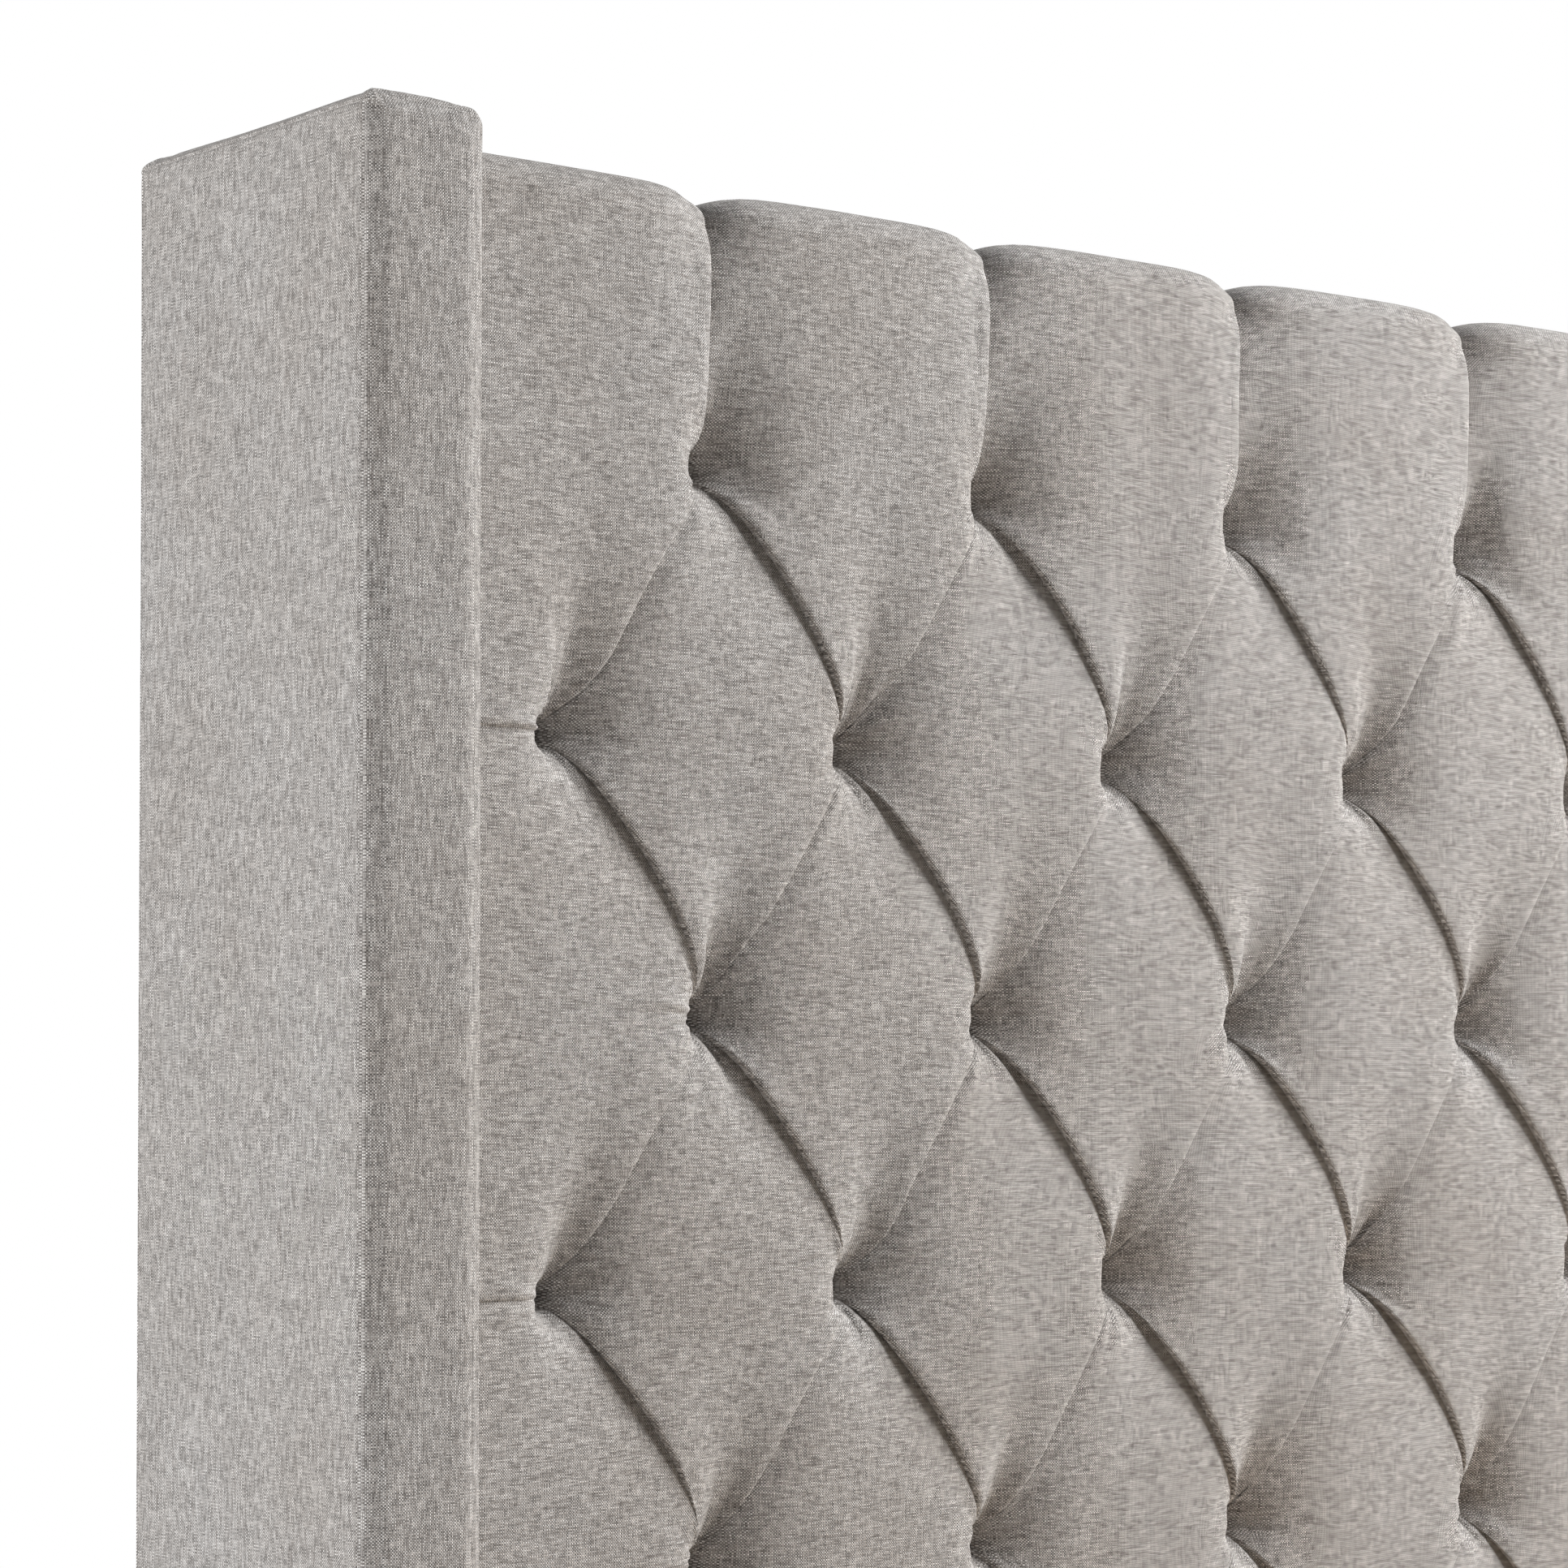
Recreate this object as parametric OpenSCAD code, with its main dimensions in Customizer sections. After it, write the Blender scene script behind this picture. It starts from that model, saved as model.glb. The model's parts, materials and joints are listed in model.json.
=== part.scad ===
// Upholstered wingback bed with a deep-buttoned headboard, as a knock-down assembly.
// X runs across the bed, Y along it with the headboard at +Y, and Z up from the floor.

/* [Mattress] */
// Width of the mattress that the bed holds
mattress_w = 1524; // [1370:2:1528]
// Length of the mattress that the bed holds
mattress_l = 2032; // [1900:2:2100]
// Gap between the mattress and the footboard
mattress_gap = 13; // [8:1:30]

/* [Headboard] */
// Height of the headboard and its wings above the floor
headboard_h = 1500; // [1480:2:1540]
// Depth of each wing from front to back
wing_d = 218; // [200:2:240]
// Thickness of each wing
wing_t = 71; // [71:1:80]
// Height of the padded panel's bottom edge
panel_bottom = 290; // [280:2:300]

/* [Tufting] */
// Spacing of the buttons along a row
tuft_w = 197; // [195:1:200]
// Spacing of the rows of buttons
tuft_h = 146; // [140:1:148]
// Number of rows of buttons
tuft_rows = 7; // [7:1:7]
// Number of button spacings between the wings
tuft_cols = 8; // [8:1:8]
// Height of the padding's crest over the buttons
tuft_d = 46; // [40:1:50]
// Diameter of a covered button
button_dia = 22; // [18:1:26]

/* [Rails] */
// Height of the rails' and footboard's top edge
rail_top = 350; // [345:1:360]
// Height of the rails' and footboard's bottom edge
rail_bottom = 110; // [105:1:115]
// Thickness of the footboard
foot_t = 60; // [60:1:66]
// Height of the slats' underside
slat_z = 230; // [228:1:232]
// Number of slats
slat_count = 14; // [10:1:15]

/* [Levelling feet] */
// Travel of a levelling foot up or down from its resting height
foot_travel = 10; // [4:1:11]

/* [Hidden] */

$fn = 48;

// Thin goods and sheet stock
cover_t = 2;
dust_cloth_t = 1.5;
steel_t = 3;
board_t = 15;
side_board_t = 4;
stud_w = 40;
stud_d = 89;
hole_gap = 0.1;
eps = 1;

// Along the bed
button_to_back = 104;
crest_gap = 25;
bed_l = button_to_back + tuft_d + crest_gap + mattress_l + mattress_gap + foot_t;
back_y = bed_l / 2;
button_y = back_y - button_to_back;
panel_y = button_y - tuft_d;
board_y = button_y + 12;
stud_y = board_y + board_t;
flap_y = back_y - 4;
wing_y = back_y - wing_d;
foot_y = -back_y;
foot_in_y = foot_y + foot_t;

// Across the bed
wing_in_x = tuft_w * tuft_cols / 2;
wing_out_x = wing_in_x + wing_t;
panel_x = wing_in_x - 0.5;
stile_x = panel_x - stud_w;
rail_in_x = mattress_w / 2 + 21;
rail_core_t = 25;
rail_core_x = rail_in_x + cover_t;
rail_foam_t = 16;
rail_out_x = rail_core_x + rail_core_t + rail_foam_t + cover_t;
rail_mid_x = rail_core_x + rail_core_t / 2;
foot_out_x = rail_out_x + 18;

// Heights
glide_h = 12;
leg_glide_h = 8;
top_pad = 12;
frame_top = headboard_h - cover_t - top_pad;
frame_low = panel_bottom + cover_t;
button_top_row = headboard_h - 150;
lower_rail_z = slat_z - stud_d;
middle_rail_z = button_top_row - 2.5 * tuft_h - stud_w / 2;
core_top = rail_top - cover_t - 8;
core_low = rail_bottom + cover_t;

// Inside a wing
wing_inner_pad = 12;
wing_outer_pad = 8;
wing_front_pad = 14;
post_w = 45;
wing_frame_x = wing_in_x + cover_t + wing_inner_pad;
wing_frame_out_x = wing_out_x - cover_t - wing_outer_pad;
post_x = wing_frame_x + side_board_t;
post_out_x = wing_frame_out_x - side_board_t;
wing_frame_y = wing_y + cover_t + wing_front_pad;
wing_frame_back_y = back_y - cover_t;
rung_h = 60;
block_top = 330;
block_low = 130;

// Fasteners
screw_dia = 5;
small_screw_dia = 4;
bolt_dia = 8;
bolt_head_dia = 14;
washer_dia = 20;
washer_t = 1.6;
wing_bolt_y = back_y - 25;
wing_bolt_heights = [frame_low + stud_d + 40, 800, 1300];
frame_screw_ys = [stud_y + 20, flap_y - 20];
plate_low = 150;
plate_h = 160;
plate_w = 20;
tongue_heights = [190, 245];
tongue_h = 20;
tongue_lip = 8;
tongue_reach = 11;
plate_screw_l = 36;
tie_dia = 2.4;

// Slats and the beam under them
slat_w = 70;
slat_t = 19;
slat_end_x = rail_in_x - 4;
first_slat_y = foot_in_y + 40;
slat_run = wing_y - 52 - first_slat_y;
slat_pitch = slat_run / (slat_count - 1);
tape_x = 400;
tape_w = 30;
tape_t = 1;
ledger_w = 32;
ledger_h = 30;
beam_w = 45;
beam_h = 70;
beam_z = slat_z - beam_h;
beam_y = stud_y - steel_t - 0.5;
beam_foot_y = foot_in_y + steel_t + 0.5;

// Centre legs and their levelling feet
centre_leg_ys = [-350, 350];
tube_dia = 36;
tube_wall = 1.5;
leg_plate = 70;
insert_h = 18;
insert_flange_t = 3;
stud_dia = 8;
stud_top = 72;
collar_across = 16;
collar_z = 12;
collar_h = 5;
collar_room = foot_travel + 0.5;
tube_z = collar_z + collar_h + collar_room + insert_flange_t;
pad_dia = 40;
pad_h = 10;
pivot_dia = 10;
pivot_z = 4;
running_gap = 0.05;

wood = "burlywood";
linen = "darkgray";
foam = "lightyellow";
steel = "silver";
black_steel = "dimgray";
black_plastic = "black";

// A block between its lowest and highest corners
module box(low, high) {
  translate(low) cube(high - low);
}

// Both sides of the bed from the right-hand one
module both_sides() {
  children();
  mirror([1, 0, 0]) children();
}

// A rod along X or Z from a start point
module rod_x(at, dia, length) {
  translate(at) rotate([0, 90, 0]) cylinder(d = dia, h = length);
}

module rod_z(at, dia, length) {
  translate(at) cylinder(d = dia, h = length);
}

// A countersunk screw from its head's face, turned to point into the work.
// With a gap it is the hole for one, open past the face.
into_plus_x = [0, 90, 0];
into_minus_x = [0, -90, 0];
into_plus_y = [-90, 0, 0];
into_minus_y = [90, 0, 0];
into_plus_z = [0, 0, 0];
into_minus_z = [180, 0, 0];

module screw(at, turn, dia, length, gap) {
  translate(at) rotate(turn) {
    cylinder(d = dia + gap, h = length + gap);
    cylinder(d1 = 2 * dia + gap, d2 = dia + gap, h = 0.6 * dia);
    if (gap > 0)
      translate([0, 0, -eps]) cylinder(d = 2 * dia + gap, h = eps);
  }
}

// A profile drawn in Y and Z, run along X
module run_x(x0, x1) {
  translate([x0, 0, 0]) rotate([90, 0, 90]) linear_extrude(x1 - x0) children();
}

// A profile drawn in X and Z, run along Y
module run_y(y0, y1) {
  translate([0, y1, 0]) rotate([90, 0, 0]) linear_extrude(y1 - y0) children();
}

// Buttons: odd rows sit on the whole spacings and even rows halfway between them
function row_offset(row) = row % 2 == 1 ? 1 : 0.5;
function row_count(row) = row % 2 == 1 ? tuft_cols - 1 : tuft_cols;
tufts = [
  for (row = [1 : tuft_rows])
    for (i = [0 : row_count(row) - 1])
      [(i + row_offset(row)) * tuft_w - wing_in_x, button_top_row - (row - 1) * tuft_h]
];

module at_tufts() {
  for (t = tufts)
    translate([t.x, 0, t.y]) rotate([-90, 0, 0]) children();
}

// Headboard frame

module frame_screw_set(gap) {
  for (z = [lower_rail_z + 25, lower_rail_z + 64, frame_low + 25, frame_low + 64,
            middle_rail_z + stud_w / 2, frame_top - stud_w / 2])
    for (y = frame_screw_ys)
      screw([panel_x, y, z], into_minus_x, screw_dia, 85, gap);
}

module wing_bolt_path(dia) {
  for (z = wing_bolt_heights)
    rod_x([stile_x - eps, wing_bolt_y, z], dia, post_out_x - stile_x + 2 * eps);
}

module headboard_stiles() {
  color(wood) both_sides() difference() {
    box([stile_x, stud_y, glide_h], [panel_x, flap_y, frame_top]);
    frame_screw_set(hole_gap);
    wing_bolt_path(bolt_dia + 0.5);
  }
}

// A member between the stiles, drilled for the frame screws
module cross_member(z, height) {
  color(wood) difference() {
    box([-stile_x, stud_y, z], [stile_x, flap_y, z + height]);
    both_sides() frame_screw_set(hole_gap);
    children();
  }
}

module headboard_top_rail() {
  cross_member(frame_top - stud_w, stud_w);
}

module headboard_middle_rail() {
  cross_member(middle_rail_z, stud_w);
}

module headboard_bottom_rail() {
  cross_member(frame_low, stud_d);
}

module headboard_lower_rail() {
  cross_member(lower_rail_z, stud_d) bracket_screw_set(hole_gap);
}

module headboard_studs() {
  spans = [
    [frame_low + stud_d, middle_rail_z],
    [middle_rail_z + stud_w, frame_top - stud_w]
  ];
  color(wood) both_sides()
    for (s = spans)
      box([1.25 * tuft_w - stud_w / 2, stud_y, s[0]], [1.25 * tuft_w + stud_w / 2, flap_y, s[1]]);
}

module frame_screws() {
  color(steel) both_sides() frame_screw_set(0);
}

// Tufted panel

module tuft_board() {
  color(wood) difference() {
    box([-panel_x, board_y, frame_low], [panel_x, stud_y, frame_top]);
    at_tufts() translate([0, 0, board_y - eps]) cylinder(d = tie_dia + 4, h = board_t + 2 * eps);
  }
}

module tuft_pockets() {
  at_tufts() translate([0, 0, panel_y - eps]) cylinder(d = button_dia + 12, h = tuft_d + 8 + eps);
}

module headboard_foam() {
  color(foam) difference() {
    run_x(-panel_x, panel_x) polygon([
      [panel_y + cover_t, frame_low],
      [board_y, frame_low],
      [board_y, frame_top],
      [flap_y, frame_top],
      [flap_y, frame_top + top_pad],
      [panel_y + cover_t, frame_top + top_pad]
    ]);
    tuft_pockets();
    at_tufts() translate([0, 0, panel_y]) cylinder(d = tie_dia + 4, h = board_y - panel_y + eps);
  }
}

// The cover wraps under the board at the foot of the panel and over the top to the back
module headboard_cover() {
  flap = 70;
  color(linen) difference() {
    run_x(-panel_x, panel_x) polygon([
      [panel_y, panel_bottom],
      [stud_y, panel_bottom],
      [stud_y, frame_low],
      [panel_y + cover_t, frame_low],
      [panel_y + cover_t, headboard_h - cover_t],
      [flap_y, headboard_h - cover_t],
      [flap_y, frame_top - flap],
      [flap_y + cover_t, frame_top - flap],
      [flap_y + cover_t, headboard_h],
      [panel_y, headboard_h]
    ]);
    tuft_pockets();
  }
}

// A covered button: a low dome on a flat back
module tuft_buttons() {
  r = button_dia / 2;
  dome = 6;
  ball = (r * r + dome * dome) / (2 * dome);
  color(linen) at_tufts() translate([0, 0, button_y]) intersection() {
    translate([0, 0, ball - dome / 2]) sphere(r = ball, $fn = 64);
    translate([0, 0, -dome]) cylinder(r = r, h = dome + 6);
  }
}

// The twine from each button's back through the foam and the board
module tuft_ties() {
  start = button_y + 6;
  color("ivory") at_tufts() translate([0, 0, start]) cylinder(d = tie_dia, h = stud_y + 3 - start);
}

module tie_washers() {
  color(black_plastic) at_tufts() translate([0, 0, stud_y]) difference() {
    cylinder(d = 18, h = 2);
    translate([0, 0, -eps]) cylinder(d = tie_dia + hole_gap, h = 2 + 2 * eps);
  }
}

module back_cover() {
  color(black_steel)
    box([-panel_x, flap_y + cover_t, frame_low + 4],
        [panel_x, flap_y + cover_t + dust_cloth_t, headboard_h - 8]);
}

// Wings, drawn for the right-hand side

module wing_posts() {
  color(wood) difference() {
    for (y = [wing_frame_y, wing_frame_back_y - post_w])
      box([post_x, y, glide_h], [post_out_x, y + post_w, frame_top]);
    wing_bolt_path(bolt_dia + 0.5);
    wing_t_nut_set(hole_gap);
  }
}

module wing_rungs() {
  color(wood)
    for (i = [0 : 3])
      translate([0, 0, glide_h + 2 + i * (frame_top - rung_h - glide_h - 2) / 3])
        box([post_x, wing_frame_y + post_w, 0], [post_out_x, wing_frame_back_y - post_w, rung_h]);
}

module wing_boards() {
  color("sienna") difference() {
    for (x = [wing_frame_x, post_out_x])
      box([x, wing_frame_y, glide_h + 2], [x + side_board_t, wing_frame_back_y, frame_top]);
    wing_block_space();
    wing_bolt_path(bolt_dia + 0.5);
  }
}

module wing_foam() {
  color(foam) difference() {
    box([wing_in_x + cover_t, wing_y + cover_t, glide_h + 2],
        [wing_out_x - cover_t, wing_frame_back_y, headboard_h - cover_t]);
    box([wing_frame_x, wing_frame_y, 0], [wing_frame_out_x, back_y, frame_top]);
    wing_block_space();
    wing_bolt_path(bolt_dia + 1);
  }
}

module wing_cover() {
  color(linen) difference() {
    box([wing_in_x, wing_y, glide_h], [wing_out_x, back_y, headboard_h]);
    box([wing_in_x + cover_t, wing_y + cover_t, 0],
        [wing_out_x - cover_t, wing_frame_back_y, headboard_h - cover_t]);
    wing_bolt_path(bolt_dia + 1);
    hook_slots(wing_y - eps, wing_y + cover_t + eps);
    slot_plate_screws(hole_gap);
  }
}

// The hardwood block that the rail's fittings hold to, and the space that it fills
module wing_block_space() {
  box([wing_in_x + cover_t, wing_y + cover_t, block_low], [post_x, wing_frame_y + post_w, block_top]);
}

module wing_rail_blocks() {
  color(wood) both_sides() difference() {
    wing_block_space();
    hook_slots(wing_y, wing_y + cover_t + tongue_reach + 2);
    slot_plate_screws(hole_gap);
  }
}

module wing_bolts() {
  color(steel) both_sides()
    for (z = wing_bolt_heights) {
      rod_x([stile_x - washer_t, wing_bolt_y, z], bolt_dia, post_out_x - stile_x + washer_t - 2);
      rod_x([stile_x - washer_t - 5, wing_bolt_y, z], bolt_head_dia, 5);
    }
}

module wing_bolt_washers() {
  color(steel) both_sides()
    for (z = wing_bolt_heights)
      difference() {
        rod_x([stile_x - washer_t, wing_bolt_y, z], washer_dia, washer_t);
        rod_x([stile_x - washer_t - eps, wing_bolt_y, z], bolt_dia + hole_gap, washer_t + 2 * eps);
      }
}

// Flanged nuts let into the wing's back post
module wing_t_nut_set(gap) {
  for (z = wing_bolt_heights) {
    rod_x([post_out_x - 12, wing_bolt_y, z], bolt_dia + 3 + gap, 12);
    rod_x([post_out_x - 2, wing_bolt_y, z], washer_dia + gap, 2 + gap);
  }
}

module wing_t_nuts() {
  color(steel) both_sides() difference() {
    wing_t_nut_set(0);
    wing_bolt_path(bolt_dia + hole_gap);
  }
}

// Nail-on glides under the wings' posts and the footboard's legs
module glide(height) {
  color(black_plastic) rotate_extrude() polygon([
    [0, 0], [9, 0], [12, 3], [12, height], [0, height]
  ]);
}

module floor_glides() {
  both_sides() {
    for (y = [wing_frame_y + post_w / 2, wing_frame_back_y - post_w / 2])
      translate([(post_x + post_out_x) / 2, y, 0]) glide(glide_h);
    translate([foot_leg_x, foot_leg_y, 0]) glide(leg_glide_h);
  }
}

// Side rails, drawn for the right-hand side

rail_core_y0 = foot_in_y + 2 * steel_t;
rail_core_y1 = wing_y - 2 * steel_t;

module rail_core() {
  color(wood) difference() {
    box([rail_core_x, rail_core_y0, core_low], [rail_core_x + rail_core_t, rail_core_y1, core_top]);
    both_ends() hook_plate_screws(hole_gap);
    ledger_screw_set(hole_gap);
  }
}

module rail_foam() {
  outer_x = rail_core_x + rail_core_t;
  color(foam) run_y(rail_core_y0, rail_core_y1) polygon([
    [outer_x, core_low],
    [outer_x + rail_foam_t, core_low],
    [outer_x + rail_foam_t, rail_top - cover_t],
    [rail_core_x, rail_top - cover_t],
    [rail_core_x, core_top],
    [outer_x, core_top]
  ]);
}

// The cover folds over the top, down to just above the slats, and under the bottom edge
module rail_cover() {
  inner_flap_z = slat_z + 32;
  color(linen) run_y(foot_in_y + 0.5, wing_y - 0.5) polygon([
    [rail_in_x, inner_flap_z],
    [rail_core_x, inner_flap_z],
    [rail_core_x, rail_top - cover_t],
    [rail_out_x - cover_t, rail_top - cover_t],
    [rail_out_x - cover_t, core_low],
    [rail_core_x, core_low],
    [rail_core_x, rail_bottom],
    [rail_out_x, rail_bottom],
    [rail_out_x, rail_top],
    [rail_in_x, rail_top]
  ]);
}

// The strip along the rail's inside that the slats' ends rest on
module ledger() {
  color(wood) difference() {
    box([rail_core_x - ledger_w, rail_core_y0 + 5, slat_z - ledger_h],
        [rail_core_x, rail_core_y1 - 5, slat_z]);
    ledger_screw_set(hole_gap);
    slat_screw_set(hole_gap);
  }
}

module ledger_screw_set(gap) {
  count = 8;
  for (i = [0 : count - 1])
    screw([rail_core_x - ledger_w, first_slat_y + (i + 0.5) * slat_run / count, slat_z - 22],
          into_plus_x, screw_dia, ledger_w + 18, gap);
}

module ledger_screws() {
  color(steel) both_sides() ledger_screw_set(0);
}

// Hook fittings that hold each rail to its wing and to the footboard

// The wing end's fitting, and its reflection at the footboard end
module both_ends() {
  children();
  translate([0, (wing_y + foot_in_y), 0]) mirror([0, 1, 0]) children();
}

module hook_plate_screws(gap) {
  for (z = [plate_low + 7, plate_low + plate_h - 7])
    screw([rail_mid_x, rail_core_y1 + steel_t, z], into_minus_y, small_screw_dia, plate_screw_l, gap);
}

module slot_plate_screws(gap) {
  for (z = [plate_low + 18, plate_low + plate_h - 22])
    screw([rail_mid_x, wing_y - steel_t, z], into_plus_y, small_screw_dia, plate_screw_l, gap);
}

module hook_slots(y0, y1) {
  for (z = tongue_heights)
    box([rail_mid_x - steel_t / 2 - 1, y0, z - tongue_lip - 1],
        [rail_mid_x + steel_t / 2 + 1, y1, z + tongue_h + tongue_lip + 1]);
}

// A hook in Y and Z that drops behind the slotted plate
module hook_profile(z) {
  y = rail_core_y1 + steel_t;
  polygon([
    [y, z],
    [y + steel_t + 0.4, z],
    [y + steel_t + 0.4, z - tongue_lip],
    [y + steel_t + tongue_reach, z - tongue_lip + 3],
    [y + steel_t + tongue_reach, z + tongue_h - 5],
    [y + steel_t + tongue_reach - 5, z + tongue_h],
    [y, z + tongue_h]
  ]);
}

module rail_hook_plates() {
  x0 = rail_mid_x - plate_w / 2;
  color(black_steel) both_sides() both_ends() {
    difference() {
      box([x0, rail_core_y1, plate_low], [x0 + plate_w, rail_core_y1 + steel_t, plate_low + plate_h]);
      hook_plate_screws(hole_gap);
    }
    for (z = tongue_heights)
      run_x(rail_mid_x - steel_t / 2, rail_mid_x + steel_t / 2) hook_profile(z);
  }
}

module rail_slot_plates() {
  x0 = rail_mid_x - plate_w / 2 + 1;
  color(black_steel) both_sides() both_ends() difference() {
    box([x0, wing_y - steel_t, plate_low], [x0 + plate_w, wing_y, plate_low + plate_h]);
    for (z = tongue_heights)
      box([rail_mid_x - steel_t / 2 - 0.5, wing_y - steel_t - eps, z],
          [rail_mid_x + steel_t / 2 + 0.5, wing_y + eps, z + tongue_h + tongue_lip + 1]);
    slot_plate_screws(hole_gap);
  }
}

module rail_plate_screws() {
  color(steel) both_sides() both_ends() {
    hook_plate_screws(0);
    slot_plate_screws(0);
  }
}

// Footboard

foot_pad_t = 18;
foot_core_y = foot_y + cover_t + foot_pad_t;
foot_side_pad = 8;
foot_leg_x = foot_out_x - 52;
foot_leg_y = (foot_y + foot_in_y) / 2;
leg_bolt_reach = 40;

module footboard_core() {
  x = foot_out_x - cover_t - foot_side_pad;
  color(wood) difference() {
    box([-x, foot_core_y, core_low], [x, foot_in_y - cover_t, core_top]);
    foot_end_cuts(foot_in_y - cover_t - tongue_reach - 2);
    both_sides() leg_bolt_set(hole_gap);
    bracket_screw_set(hole_gap);
  }
}

// Hook slots and screw holes for the rails' fittings, from the footboard's inner face
module foot_end_cuts(depth_y) {
  both_sides() {
    hook_slots(depth_y, foot_in_y + eps);
    translate([0, wing_y + foot_in_y, 0]) mirror([0, 1, 0]) slot_plate_screws(hole_gap);
  }
}

module footboard_foam() {
  x = foot_out_x - cover_t;
  color(foam) difference() {
    box([-x, foot_y + cover_t, core_low], [x, foot_in_y - cover_t, rail_top - cover_t]);
    box([-x + foot_side_pad, foot_core_y, 0], [x - foot_side_pad, foot_in_y, core_top]);
  }
}

module footboard_cover() {
  x = foot_out_x - cover_t;
  color(linen) difference() {
    box([-foot_out_x, foot_y, rail_bottom], [foot_out_x, foot_in_y, rail_top]);
    box([-x, foot_y + cover_t, 0], [x, foot_in_y - cover_t, rail_top - cover_t]);
    foot_end_cuts(foot_in_y - cover_t - eps);
    bracket_screw_set(hole_gap);
  }
}

// A square leg that narrows towards the floor
module footboard_legs() {
  top = 52;
  foot = 38;
  corner_r = 4;
  slab = 2;
  module slab_at(side, z) {
    for (x = [-1, 1])
      for (y = [-1, 1])
        translate([x * (side / 2 - corner_r), y * (side / 2 - corner_r), z])
          cylinder(r = corner_r, h = slab, $fn = 24);
  }
  color("saddlebrown") both_sides() difference() {
    translate([foot_leg_x, foot_leg_y, 0]) hull() {
      slab_at(foot, leg_glide_h);
      slab_at(top, core_low - slab);
    }
    leg_bolt_set(hole_gap);
  }
}

module leg_bolt_set(gap) {
  rod_z([foot_leg_x, foot_leg_y, core_low - leg_bolt_reach - gap], bolt_dia + gap,
        2 * (leg_bolt_reach + gap));
}

module leg_bolts() {
  color(steel) both_sides() leg_bolt_set(0);
}

// Slats

module slat_screw_set(gap) {
  for (i = [0 : slat_count - 1])
    screw([rail_core_x - ledger_w / 2, first_slat_y + i * slat_pitch, slat_z + slat_t],
          into_minus_z, small_screw_dia, slat_t + 16, gap);
}

module slats() {
  color(wood) difference() {
    for (i = [0 : slat_count - 1])
      translate([0, first_slat_y + i * slat_pitch, slat_z])
        box([-slat_end_x, -slat_w / 2, 0], [slat_end_x, slat_w / 2, slat_t]);
    both_sides() slat_screw_set(hole_gap);
  }
}

module slat_tapes() {
  color("ivory") both_sides()
    box([tape_x - tape_w / 2, first_slat_y - slat_w / 2, slat_z - tape_t],
        [tape_x + tape_w / 2, first_slat_y + slat_run + slat_w / 2, slat_z]);
}

module slat_screws() {
  color(steel) both_sides() slat_screw_set(0);
}

// Centre beam

module centre_beam() {
  color(wood) difference() {
    box([-beam_w / 2, beam_foot_y, beam_z], [beam_w / 2, beam_y, slat_z]);
    at_centre_legs() leg_screw_set(hole_gap);
  }
}

// The cup at the headboard's end, and its reflection at the footboard's
module both_beam_ends() {
  children();
  translate([0, stud_y + foot_in_y, 0]) mirror([0, 1, 0]) children();
}

module beam_brackets() {
  side = beam_w / 2 + 0.5;
  reach = 50;
  y0 = stud_y - steel_t - reach;
  color(black_steel) both_beam_ends() difference() {
    union() {
      box([-side - 25, stud_y - steel_t, beam_z - steel_t], [side + 25, stud_y, slat_z - 2]);
      box([-side - steel_t, y0, beam_z - steel_t], [side + steel_t, stud_y, beam_z]);
      both_sides() box([side, y0, beam_z - steel_t], [side + steel_t, stud_y, slat_z - 20]);
    }
    bracket_screw_set(hole_gap);
  }
}

module bracket_screw_set(gap) {
  both_sides() both_beam_ends()
    for (z = [beam_z + 15, slat_z - 18])
      screw([beam_w / 2 + 14, stud_y - steel_t, z], into_plus_y, small_screw_dia, 33, gap);
}

// Screws of the beam's brackets and of the centre legs' plates
module bracket_screws() {
  color(steel) {
    bracket_screw_set(0);
    at_centre_legs() leg_screw_set(0);
  }
}

// Centre legs

module at_centre_legs() {
  for (y = centre_leg_ys)
    translate([0, y, 0]) children();
}

module leg_screw_set(gap) {
  for (x = [-14, 14])
    for (y = [-26, 26])
      screw([x, y, beam_z - steel_t], into_plus_z, small_screw_dia, 33, gap);
}

// A steel tube under a screwed plate
module centre_legs() {
  plate_z = beam_z - steel_t;
  color(black_steel) at_centre_legs() difference() {
    union() {
      rod_z([0, 0, tube_z], tube_dia, plate_z - tube_z);
      box([-leg_plate / 2, -leg_plate / 2, plate_z], [leg_plate / 2, leg_plate / 2, beam_z]);
    }
    rod_z([0, 0, tube_z - eps], tube_dia - 2 * tube_wall, plate_z - tube_z + eps);
    leg_screw_set(hole_gap);
  }
}

// A threaded plug in the tube's foot, drawn with a plain bore
module leg_inserts() {
  flange_z = tube_z - insert_flange_t;
  color(black_plastic) at_centre_legs() difference() {
    union() {
      rod_z([0, 0, flange_z], tube_dia, insert_flange_t);
      rod_z([0, 0, tube_z], tube_dia - 2 * tube_wall - 2 * running_gap, insert_h);
    }
    rod_z([0, 0, flange_z - eps], stud_dia + 2 * running_gap, insert_h + insert_flange_t + 2 * eps);
  }
}

// The pad stands still on the floor while its stud turns in it
module foot_pad(y) {
  color(black_plastic) translate([0, y, 0]) rotate_extrude() difference() {
    polygon([[0, 0], [pad_dia / 2 - 2, 0], [pad_dia / 2, 2], [pad_dia / 2, 5], [9, pad_h], [0, pad_h]]);
    translate([-eps, pivot_z]) square([eps + pivot_dia / 2 + running_gap, pad_h]);
  }
}

module foot_stud(y) {
  color(steel) translate([0, y, 0]) {
    rod_z([0, 0, pivot_z + running_gap], pivot_dia, collar_z - pivot_z - running_gap);
    rod_z([0, 0, collar_z + collar_h], stud_dia, stud_top - collar_z - collar_h);
    translate([0, 0, collar_z]) cylinder(d = collar_across, h = collar_h, $fn = 6);
  }
}

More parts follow.
